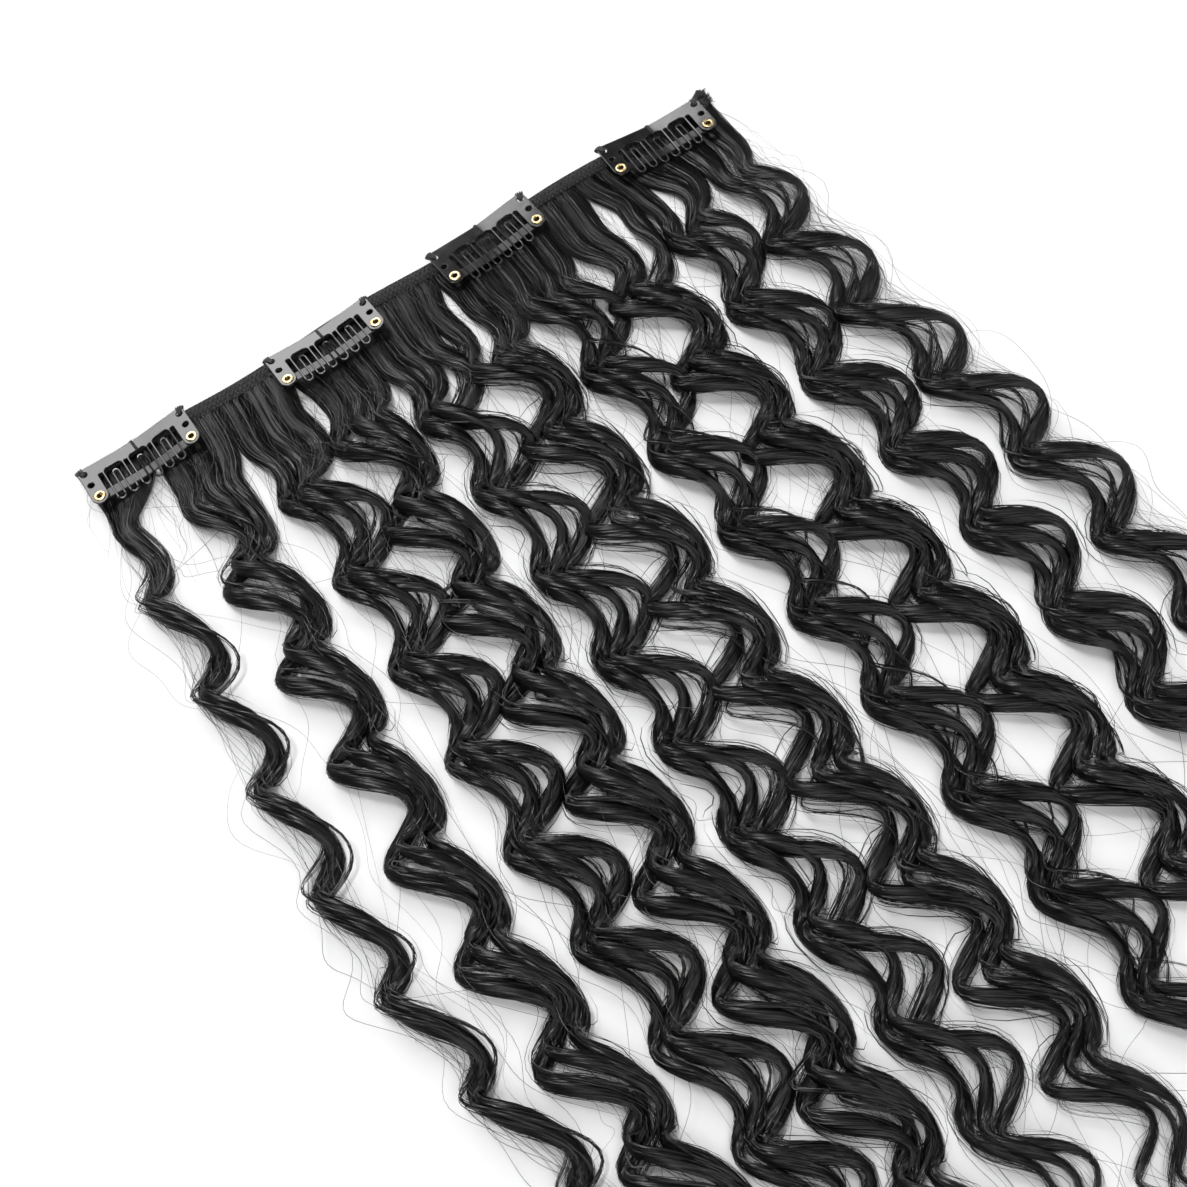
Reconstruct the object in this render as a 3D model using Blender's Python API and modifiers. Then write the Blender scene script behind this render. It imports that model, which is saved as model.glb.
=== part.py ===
"""Clip in hair extension: one eight inch weft of curled black hair with four snap clips.

The weft lies on a flat surface. X runs along the sewn band, the hair runs towards -Y and +Z is up.
The origin is the middle of the band's underside. Lengths are in metres and angles in degrees.
"""

import math
from collections import namedtuple

import bmesh
import bpy
from mathutils import Matrix, Vector

MM = 0.001

# Points closer than this are one point
MERGE = 0.01 * MM
CUT_SNAP = 0.001 * MM

# Clearance between pieces that touch on the real object
FIT_GAP = 0.3 * MM
CLIP_GAP = 0.15 * MM

# Sewn band
BAND_LENGTH = 204 * MM
BAND_WIDTH = 4.4 * MM
BAND_THICKNESS = 2.2 * MM
BAND_WAVE = 0.7 * MM
BAND_WAVES = 3
BAND_STEPS = 24

# Hair root strip, just below the band
ROOT_DEPTH = 12 * MM
ROOT_THICKNESS = 2.2 * MM
ROOT_SIDE_INSET = 1.0 * MM

# Hair locks
HAIR_LENGTH = 334 * MM
LOCK_PITCH = 20.8 * MM
LOCK_THICKNESS = 2.0 * MM
LOCK_TIP_HALF_WIDTH = 2.0 * MM
LOCK_STATIONS = 66
LOCK_LIFT = 1.7 * MM
LOCK_CUSP = 1.2 * MM
LOCK_TURN_SHARE = 0.3
LOCK_FLOOR = 0.1 * MM
LOCK_LAYER_STEP = 0.3 * MM
LOCK_START = 5 * MM
CURL_START = 10 * MM
CURL_FULL = 40 * MM
MIDDLE_SPAN = (0.14, 0.48)
TIP_SPAN = (0.40, 1.0)
TAPER_START = 0.72

Lock = namedtuple("Lock", "root_x gather_x middle_x tip_x half_width curl_length swing skew phase length_share")

# One row for each lock, left to right; the four x values are where its middle line runs, in mm
LOCKS = (
    Lock(-92.6, -98.5, -100.5, -62.0, 4.0, 29.5, 4.9, 2.4, 113, 0.96),
    Lock(-72.4, -74.5, -77.0, -56.0, 6.4, 28.5, 5.2, 1.8, 30, 1.00),
    Lock(-51.6, -52.0, -54.0, -41.0, 7.2, 27.5, 5.0, 1.2, 150, 0.96),
    Lock(-31.0, -31.0, -31.5, -22.0, 7.4, 28.5, 5.2, 1.6, 250, 1.00),
    Lock(-10.3, -10.0, -10.0, -2.0, 7.4, 27.0, 5.0, 0.8, 95, 0.98),
    Lock(10.3, 11.0, 13.0, 22.0, 7.4, 28.0, 5.2, 1.4, 200, 1.00),
    Lock(31.0, 32.0, 37.0, 46.0, 7.2, 28.5, 5.2, 0.8, 330, 0.97),
    Lock(51.6, 53.0, 61.0, 72.0, 7.0, 28.0, 5.4, 1.2, 110, 1.00),
    Lock(72.4, 74.0, 85.0, 98.0, 6.6, 28.5, 5.4, 0.6, 235, 0.98),
    Lock(92.4, 94.0, 108.0, 122.0, 5.6, 29.0, 5.6, 0.8, 1, 0.96),
)

# Snap clip, in its own frame: X along the clip, Y towards its spine, origin midway between the eyelets
SHEET = 0.5 * MM
EYELET_X = 14.0 * MM
PLATE_HALF_LENGTH = 16.3 * MM
ARM_INNER_X = 11.6 * MM
ARM_END_Y = -2.35 * MM
SPINE_Y = 11.0 * MM
SPINE_CORNER = 1.8 * MM
SEAM_Y = 8.35 * MM
HOLE_RADIUS = 0.88 * MM
HOLES = ((14.5 * MM, 4.6 * MM), (14.7 * MM, 8.9 * MM))
DISH = 1.2 * MM
BEND_CUTS = 3

# Comb teeth
TOOTH_PITCH = 3.64 * MM
TOOTH_WIDTH = 2.6 * MM
WIRE = 0.65 * MM
TOOTH_TIP_Y = -3.6 * MM
BRIDGE_TOP_Y = 5.3 * MM
OPENING_TOP_Y = 7.4 * MM
SLOT_TOP_Y = 6.8 * MM
COMB_GROUPS = (-1, 0, 1)

# Snap strip under the plate
BAR_HALF_WIDTH = 1.8 * MM

# Eyelets
EYELET_BORE = 0.68 * MM
EYELET_BARREL = 1.0 * MM
EYELET_RIM = 1.6 * MM
EYELET_RIM_HEIGHT = 0.3 * MM
EYELET_FOOT = 1.4 * MM
EYELET_SIDES = 10

Clip = namedtuple("Clip", "name x y turn tilt")

# One row for each clip, left to right: middle of its eyelet line in mm, turn about Z, lift of the eyelet side
CLIPS = (
    Clip("clip_1", -85.2, -9.0, 1.8, 10.0),
    Clip("clip_2", -27.9, -9.4, 1.4, 15.0),
    Clip("clip_3", 25.3, -7.6, 3.4, 6.0),
    Clip("clip_4", 80.8, -8.8, -4.8, 11.5),
)

BLACK_HAIR = ((0.012, 0.011, 0.011), 0.42, 0.0)
BLACK_WEFT = ((0.010, 0.010, 0.010), 0.75, 0.0)
BLACK_STEEL = ((0.015, 0.015, 0.016), 0.22, 0.0)
BRASS = ((0.80, 0.62, 0.30), 0.25, 1.0)


def clear_scene():
    """Remove every object that the file opened with."""
    for item in list(bpy.data.objects):
        bpy.data.objects.remove(item, do_unlink=True)


def make_collection(name):
    """Return a new collection linked to the scene."""
    made = bpy.data.collections.new(name)
    bpy.context.scene.collection.children.link(made)
    return made


def make_material(name, finish):
    """Return a Principled material of the given colour, roughness and metallic value."""
    colour, roughness, metallic = finish
    material = bpy.data.materials.new(name)
    material.use_nodes = True
    shader = material.node_tree.nodes["Principled BSDF"]
    shader.inputs["Base Color"].default_value = (*colour, 1.0)
    shader.inputs["Roughness"].default_value = roughness
    shader.inputs["Metallic"].default_value = metallic
    return material


def add_object(name, mesh, collection, material):
    """Link a mesh as a named object with one material."""
    item = bpy.data.objects.new(name, mesh)
    mesh.name = name
    mesh.materials.clear()
    mesh.materials.append(material)
    collection.objects.link(item)
    return item


def smooth_step(value):
    """Ease from 0 to 1 as value goes from 0 to 1."""
    value = min(max(value, 0.0), 1.0)
    return value * value * (3.0 - 2.0 * value)


def freeze(item):
    """Apply an object's modifiers and return its mesh with close points merged."""
    graph = bpy.context.evaluated_depsgraph_get()
    mesh = bpy.data.meshes.new_from_object(item.evaluated_get(graph))
    work = bmesh.new()
    work.from_mesh(mesh)
    bmesh.ops.remove_doubles(work, verts=work.verts, dist=MERGE)
    bmesh.ops.recalc_face_normals(work, faces=work.faces)
    work.to_mesh(mesh)
    work.free()
    return mesh


# Outlines

def arc(centre, radius, start, end, steps):
    """Points on an arc from one angle to another, ends included, in degrees."""
    points = []
    for step in range(steps + 1):
        angle = math.radians(start + (end - start) * step / steps)
        points.append((centre[0] + radius * math.cos(angle), centre[1] + radius * math.sin(angle)))
    return points


def ring(centre, radius, sides):
    """Points on a full circle, without repeating the first."""
    return arc(centre, radius, 0, 360 - 360 / sides, sides - 1)


def slice_sheet(mesh):
    """Cut a flat sheet across once for each tooth, so that it bends evenly, and clear its long diagonals."""
    work = bmesh.new()
    work.from_mesh(mesh)
    for step in range(-BEND_CUTS, BEND_CUTS + 1):
        everything = work.verts[:] + work.edges[:] + work.faces[:]
        place = Vector((step * TOOTH_PITCH, 0.0, 0.0))
        cut = bmesh.ops.bisect_plane(work, geom=everything, dist=CUT_SNAP, plane_co=place, plane_no=(1, 0, 0))
        for item in cut["geom_cut"]:
            if isinstance(item, bmesh.types.BMEdge):
                item.seam = True
    flat = math.radians(1)
    bmesh.ops.dissolve_limit(work, angle_limit=flat, verts=work.verts, edges=work.edges, delimit={"SEAM"})
    bmesh.ops.triangulate(work, faces=work.faces)
    work.to_mesh(mesh)
    work.free()


def sheet_mesh(name, outlines, thickness):
    """Fill flat outlines, the first being the outer one, and return the sheet as a closed mesh."""
    curve = bpy.data.curves.new(name, "CURVE")
    curve.dimensions = "2D"
    curve.fill_mode = "BOTH"
    curve.extrude = thickness / 2
    for outline in outlines:
        spline = curve.splines.new("POLY")
        spline.points.add(len(outline) - 1)
        for point, (x, y) in zip(spline.points, outline):
            point.co = (x, y, 0.0, 1.0)
        spline.use_cyclic_u = True
    holder = bpy.data.objects.new(name, curve)
    bpy.context.scene.collection.objects.link(holder)
    mesh = freeze(holder)
    bpy.data.objects.remove(holder, do_unlink=True)
    bpy.data.curves.remove(curve)
    slice_sheet(mesh)
    return mesh


def dish_height(x):
    """How far the sprung sheet rises at x above its middle."""
    return DISH * (x / PLATE_HALF_LENGTH) ** 2


def shape_sheet(mesh, lift):
    """Bend a flat sheet along the clip's dish and raise it by lift."""
    for vertex in mesh.vertices:
        vertex.co.z += dish_height(vertex.co.x) + lift


# Snap clip

def arm_end(side):
    """The round end of one arm, from its inner edge to its outer edge for the left arm."""
    middle = side * (PLATE_HALF_LENGTH + ARM_INNER_X) / 2
    radius = (PLATE_HALF_LENGTH - ARM_INNER_X) / 2
    return arc((middle, ARM_END_Y + radius), radius, 180, 360, 7)


def frame_outlines():
    """The plate's outline, running anticlockwise, and its holes."""
    window_top = SEAM_Y + CLIP_GAP
    outer = arm_end(-1)
    outer += [(-ARM_INNER_X, window_top), (ARM_INNER_X, window_top)]
    outer += arm_end(1)
    corner = (PLATE_HALF_LENGTH - SPINE_CORNER, SPINE_Y - SPINE_CORNER)
    outer += arc(corner, SPINE_CORNER, 0, 90, 3)
    outer += arc((-corner[0], corner[1]), SPINE_CORNER, 90, 180, 3)
    holes = []
    for side in (-1, 1):
        holes.append(ring((side * EYELET_X, 0.0), EYELET_BARREL + CLIP_GAP, EYELET_SIDES))
        for x, y in HOLES:
            holes.append(ring((side * x, y), HOLE_RADIUS, 8))
    return [outer] + holes


def comb_outlines():
    """The teeth and their root strip: the outer edge, running anticlockwise, and three openings."""
    tip_radius = TOOTH_WIDTH / 2
    inner_radius = tip_radius - WIRE
    tip_centre_y = TOOTH_TIP_Y + tip_radius
    bridge_radius = TOOTH_PITCH / 2 - tip_radius + WIRE
    bridge_centre_y = BRIDGE_TOP_Y - bridge_radius
    slot_half = bridge_radius - WIRE
    strip_top = SEAM_Y - CLIP_GAP
    strip_end = ARM_INNER_X - FIT_GAP
    outer = [(-strip_end, strip_top), (-strip_end, SLOT_TOP_Y)]
    openings = []
    for group in COMB_GROUPS:
        middle = group * 2 * TOOTH_PITCH
        left = middle - TOOTH_PITCH / 2
        right = middle + TOOTH_PITCH / 2
        outer += [(left - tip_radius, SLOT_TOP_Y)]
        outer += arc((left, tip_centre_y), tip_radius, 180, 360, 5)
        outer += arc((middle, bridge_centre_y), slot_half, 180, 0, 4)
        outer += arc((right, tip_centre_y), tip_radius, 180, 360, 5)
        outer += [(right + tip_radius, SLOT_TOP_Y)]
        opening = [(left - inner_radius, OPENING_TOP_Y)]
        opening += arc((left, tip_centre_y), inner_radius, 180, 360, 4)
        opening += arc((middle, bridge_centre_y), bridge_radius, 180, 0, 5)
        opening += arc((right, tip_centre_y), inner_radius, 180, 360, 4)
        opening += [(right + inner_radius, OPENING_TOP_Y)]
        openings.append(opening)
    outer += [(strip_end, SLOT_TOP_Y), (strip_end, strip_top)]
    return [outer] + openings


def bar_outlines():
    """The snap strip's outline, with round ends about its two eyelet holes."""
    outer = arc((-EYELET_X, 0.0), BAR_HALF_WIDTH, 90, 270, 6)
    outer += arc((EYELET_X, 0.0), BAR_HALF_WIDTH, -90, 90, 6)
    holes = []
    for side in (-1, 1):
        holes.append(ring((side * EYELET_X, 0.0), EYELET_BARREL + CLIP_GAP, EYELET_SIDES))
    return [outer] + holes


def eyelet_mesh():
    """A hollow rivet turned from its profile, which runs down the outer side and up the bore."""
    plate_top = SHEET / 2
    bar_bottom = -SHEET * 1.5 - CLIP_GAP
    rim_under = plate_top + CLIP_GAP
    foot_top = bar_bottom - CLIP_GAP
    foot_bottom = foot_top - EYELET_RIM_HEIGHT
    profile = (
        (EYELET_BORE, rim_under + EYELET_RIM_HEIGHT),
        (EYELET_RIM, rim_under),
        (EYELET_BARREL, rim_under),
        (EYELET_BARREL, foot_top),
        (EYELET_FOOT, foot_top),
        (EYELET_BORE, foot_bottom),
    )
    mesh = bpy.data.meshes.new("eyelet")
    points = [(radius, 0.0, height) for radius, height in profile]
    edges = [(index, (index + 1) % len(points)) for index in range(len(points))]
    mesh.from_pydata(points, edges, [])
    holder = bpy.data.objects.new("eyelet", mesh)
    bpy.context.scene.collection.objects.link(holder)
    screw = holder.modifiers.new("turn", "SCREW")
    screw.axis = "Z"
    screw.angle = math.tau
    screw.steps = EYELET_SIDES
    screw.render_steps = EYELET_SIDES
    screw.use_merge_vertices = True
    screw.merge_threshold = MERGE
    turned = freeze(holder)
    bpy.data.objects.remove(holder, do_unlink=True)
    return turned


def clip_height(clip):
    """Height of the plate's middle at the eyelet line, so that the tilted spine clears the band."""
    tilt = math.radians(clip.tilt)
    spine_drop = SPINE_Y * math.sin(tilt) + SHEET / 2 * math.cos(tilt)
    return BAND_THICKNESS + FIT_GAP + spine_drop


def build_clips(collection, steel, brass):
    """Make the four snap clips, each placed by an empty and with its comb turning on its own seam."""
    frame_mesh = sheet_mesh("clip_frame", frame_outlines(), SHEET)
    shape_sheet(frame_mesh, 0.0)
    bar_mesh = sheet_mesh("clip_bar", bar_outlines(), SHEET)
    shape_sheet(bar_mesh, -SHEET - CLIP_GAP)
    comb_mesh = sheet_mesh("clip_comb", comb_outlines(), SHEET)
    shape_sheet(comb_mesh, 0.0)
    seam = Vector((0.0, SEAM_Y, dish_height(ARM_INNER_X)))
    comb_mesh.transform(Matrix.Translation(-seam))
    rivet = eyelet_mesh()
    for clip in CLIPS:
        seat = bpy.data.objects.new(clip.name, None)
        collection.objects.link(seat)
        seat.location = (clip.x * MM, clip.y * MM, clip_height(clip))
        seat.rotation_euler = (-math.radians(clip.tilt), 0.0, math.radians(clip.turn))
        frame = add_object(clip.name + "_frame", frame_mesh.copy(), collection, steel)
        frame.parent = seat
        bar = add_object(clip.name + "_bar", bar_mesh.copy(), collection, steel)
        bar.parent = seat
        comb = add_object(clip.name + "_comb", comb_mesh.copy(), collection, steel)
        comb.parent = seat
        comb.location = seam
        for side, label in ((-1, "left"), (1, "right")):
            eyelet = add_object(clip.name + "_eyelet_" + label, rivet.copy(), collection, brass)
            eyelet.parent = seat
            eyelet.location = (side * EYELET_X, 0.0, dish_height(EYELET_X))


# Band and hair

def build_band(collection, weft):
    """The sewn band: a strip with a slight wave, flat underneath."""
    mesh = bpy.data.meshes.new("weft_band")
    work = bmesh.new()
    bmesh.ops.create_grid(work, x_segments=BAND_STEPS, y_segments=1, size=0.5)
    for vertex in work.verts:
        wave = BAND_WAVE * math.sin(math.tau * BAND_WAVES * (vertex.co.x + 0.5))
        vertex.co.y = vertex.co.y * BAND_WIDTH + wave
        vertex.co.x = vertex.co.x * BAND_LENGTH
        vertex.co.z = 0.0
    work.to_mesh(mesh)
    work.free()
    band = add_object("weft_band", mesh, collection, weft)
    thick = band.modifiers.new("thickness", "SOLIDIFY")
    thick.thickness = BAND_THICKNESS
    thick.offset = 1.0
    return band


def span_share(value, span):
    """Ease from 0 to 1 as value crosses a span."""
    return smooth_step((value - span[0]) / (span[1] - span[0]))


def lock_middle(lock, run):
    """X of a lock's middle line after a run along -Y, without its curl."""
    share = run / HAIR_LENGTH
    x = lock.root_x
    x += (lock.gather_x - lock.root_x) * span_share(run, (0.0, CURL_FULL))
    x += (lock.middle_x - lock.gather_x) * span_share(share, MIDDLE_SPAN)
    x += (lock.tip_x - lock.middle_x) * span_share(share, TIP_SPAN)
    return x * MM


def lock_half_width(lock, run, turn):
    """Half a lock's width: its share of the band, then its own, then the tip's; turn is 1 at a crest."""
    half = LOCK_PITCH / 2
    own = lock.half_width * MM * (1 - LOCK_TURN_SHARE * turn)
    half += (own - half) * span_share(run, (0.0, CURL_FULL))
    done = run / HAIR_LENGTH / lock.length_share
    return half + (LOCK_TIP_HALF_WIDTH - half) * span_share(done, (TAPER_START, 1))


def lock_point(lock, run):
    """Centre and half width of a lock after a run along -Y: a flattened coil with skewed crests."""
    curl = span_share(run, (CURL_START, CURL_FULL))
    angle = math.tau * run / (lock.curl_length * MM) + math.radians(lock.phase)
    x = lock_middle(lock, run) + curl * lock.swing * MM * math.sin(angle)
    y = -BAND_WIDTH / 2 - run + curl * (LOCK_CUSP * math.cos(angle) - lock.skew * MM * math.sin(angle))
    z = LOCK_FLOOR + LOCK_THICKNESS / 2 + LOCK_LIFT * curl * (1 + math.cos(angle))
    return Vector((x, y, z)), lock_half_width(lock, run, math.sin(angle) ** 2)


def build_lock(number, lock, collection, hair):
    """One flattened wavy lock: a grid bent along its run and given its thickness."""
    mesh = bpy.data.meshes.new("lock")
    work = bmesh.new()
    bmesh.ops.create_grid(work, x_segments=1, y_segments=LOCK_STATIONS, size=0.5)
    length = HAIR_LENGTH * lock.length_share
    layer = LOCK_LAYER_STEP * (number % 2)
    for vertex in work.verts:
        run = LOCK_START + (length - LOCK_START) * (0.5 - vertex.co.y)
        centre, half = lock_point(lock, run)
        side = vertex.co.x * 2
        vertex.co = centre + Vector((side * half, 0.0, layer))
    work.to_mesh(mesh)
    work.free()
    item = add_object("lock_%02d" % (number + 1), mesh, collection, hair)
    thick = item.modifiers.new("thickness", "SOLIDIFY")
    thick.thickness = LOCK_THICKNESS
    thick.offset = 0.0
    return item


def build_hair(parts, tools, hair):
    """Fuse the locks to the root strip as one body."""
    near = -BAND_WIDTH / 2 - FIT_GAP - BAND_WAVE
    far = -BAND_WIDTH / 2 - ROOT_DEPTH
    bpy.ops.mesh.primitive_cube_add(size=1.0)
    root = bpy.context.object
    root.name = "hair"
    root.data.name = "hair"
    for vertex in root.data.vertices:
        vertex.co.x *= BAND_LENGTH - 2 * ROOT_SIDE_INSET
        vertex.co.y = near if vertex.co.y > 0 else far
        vertex.co.z = (vertex.co.z + 0.5) * ROOT_THICKNESS
    root.data.materials.append(hair)
    for owner in list(root.users_collection):
        owner.objects.unlink(root)
    parts.objects.link(root)
    for number, lock in enumerate(LOCKS):
        item = build_lock(number, lock, tools, hair)
        item.hide_render = True
        item.display_type = "WIRE"
        join = root.modifiers.new("join_%02d" % (number + 1), "BOOLEAN")
        join.operation = "UNION"
        join.solver = "EXACT"
        join.object = item
    return root


def main():
    """Build the whole weft."""
    clear_scene()
    parts = make_collection("clip_in_hair_extension")
    tools = make_collection("cutters")
    hair = make_material("black_hair", BLACK_HAIR)
    weft = make_material("black_weft", BLACK_WEFT)
    steel = make_material("black_steel", BLACK_STEEL)
    brass = make_material("brass", BRASS)
    build_band(parts, weft)
    build_hair(parts, tools, hair)
    build_clips(parts, steel, brass)


main()
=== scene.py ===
"""Looks of the clip in hair extension: hair strands, stitched band, painted snap clips, eyelets and studio.

Every class keeps its sizes in millimetres and its angles in degrees, but the studio's lights are in metres.
Draft turns millimetres into metres when it makes a mesh.
"""

from __future__ import annotations

import logging
import math
from dataclasses import dataclass, field
from enum import Enum
from typing import Sequence

import bmesh
import bpy
import numpy as np
from mathutils import Matrix, Quaternion, Vector

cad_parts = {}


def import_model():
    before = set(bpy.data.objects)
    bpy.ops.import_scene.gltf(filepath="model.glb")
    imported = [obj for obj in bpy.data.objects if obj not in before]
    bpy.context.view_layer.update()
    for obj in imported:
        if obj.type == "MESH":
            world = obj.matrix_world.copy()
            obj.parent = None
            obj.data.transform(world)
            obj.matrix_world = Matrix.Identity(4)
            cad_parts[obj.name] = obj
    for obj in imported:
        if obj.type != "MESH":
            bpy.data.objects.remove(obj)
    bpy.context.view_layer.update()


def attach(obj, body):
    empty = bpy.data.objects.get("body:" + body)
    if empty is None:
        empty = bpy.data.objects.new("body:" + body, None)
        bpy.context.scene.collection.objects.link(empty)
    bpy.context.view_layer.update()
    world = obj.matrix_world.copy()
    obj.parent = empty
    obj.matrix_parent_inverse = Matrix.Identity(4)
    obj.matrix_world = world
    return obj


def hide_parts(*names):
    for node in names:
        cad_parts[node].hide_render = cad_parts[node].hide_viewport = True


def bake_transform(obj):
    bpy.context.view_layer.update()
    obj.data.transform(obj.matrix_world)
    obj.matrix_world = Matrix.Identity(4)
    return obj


Array = np.ndarray
Span = tuple[float, float]
Drift = tuple[float, Span]
Place = tuple[float, float, float]
Outline = list[Span]

MM = 0.001
TAU = math.tau
UP = np.array([0.0, 0.0, 1.0])
ROOT_BODY = "weft"

# Surface coordinates: how far the strands' differ, how wide one is, and how wide a tube is around
TONES = 50.0
TONE_WIDTH = 0.5
AROUND = 12

log = logging.getLogger("clip_in_hair_extension")


class Side(Enum):
    """The left or right end of a clip or a lock."""

    LEFT = -1
    RIGHT = 1


class Slot(Enum):
    """The record's material slots."""

    HAIR = "hair"
    WEFT = "weft"
    STEEL = "clip_steel"
    BRASS = "eyelet_brass"


# Shared sums


def ease(value: Array | float) -> Array:
    """Go smoothly from 0 to 1 as the value does."""
    clipped = np.clip(value, 0.0, 1.0)
    return clipped * clipped * (3.0 - 2.0 * clipped)


def span_share(value: Array | float, span: Span) -> Array:
    """Go smoothly from 0 to 1 as the value crosses the span."""
    return ease((value - span[0]) / (span[1] - span[0]))


def mixed(first: Array | float, second: Array | float, share: Array | float) -> Array:
    """Go straight from the first value to the second as the share goes from 0 to 1."""
    return first + (second - first) * share


def unit(vectors: Array) -> Array:
    """Scale vectors to length one."""
    return vectors / np.maximum(np.linalg.norm(vectors, axis=-1, keepdims=True), 1e-9)


def arc(centre: Span, radius: float, start: float, end: float, steps: int) -> Outline:
    """Make the points of an arc, ends included.

    Args:
        centre: Middle of the arc.
        radius: Its radius.
        start: First angle, in degrees.
        end: Last angle, in degrees.
        steps: Number of intervals.

    Returns:
        The points in order.
    """
    angles = [math.radians(mixed(start, end, step / steps)) for step in range(steps + 1)]
    return [(centre[0] + radius * math.cos(a), centre[1] + radius * math.sin(a)) for a in angles]


def circle(centre: Span, radius: float, sides: int) -> Outline:
    """Make a closed circle's points, the first not repeated."""
    return arc(centre, radius, 0, 360 - 360 / sides, sides - 1)


@dataclass(frozen=True)
class Wander:
    """A smooth random drift along a run, made of a few sine waves for each strand."""

    sizes: Array
    lengths: Array
    phases: Array

    @classmethod
    def drawn(cls, rng: np.random.Generator, count: int, size: float, lengths: Span) -> Wander:
        """Draw the waves at random.

        Args:
            rng: Source of the random numbers.
            count: Number of strands.
            size: Typical size of the drift.
            lengths: Shortest and longest wave.

        Returns:
            The drift.
        """
        terms = (count, 3)
        return cls(
            sizes=rng.normal(0.0, size / math.sqrt(3), terms),
            lengths=rng.uniform(*lengths, terms),
            phases=rng.uniform(0.0, TAU, terms),
        )

    def at(self, run: Array) -> Array:
        """Give the drift of each strand (rows) at its runs (columns)."""
        angle = TAU * run[..., None] / self.lengths[:, None, :] + self.phases[:, None, :]
        return (self.sizes[:, None, :] * np.sin(angle)).sum(axis=-1)


# Meshes


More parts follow.
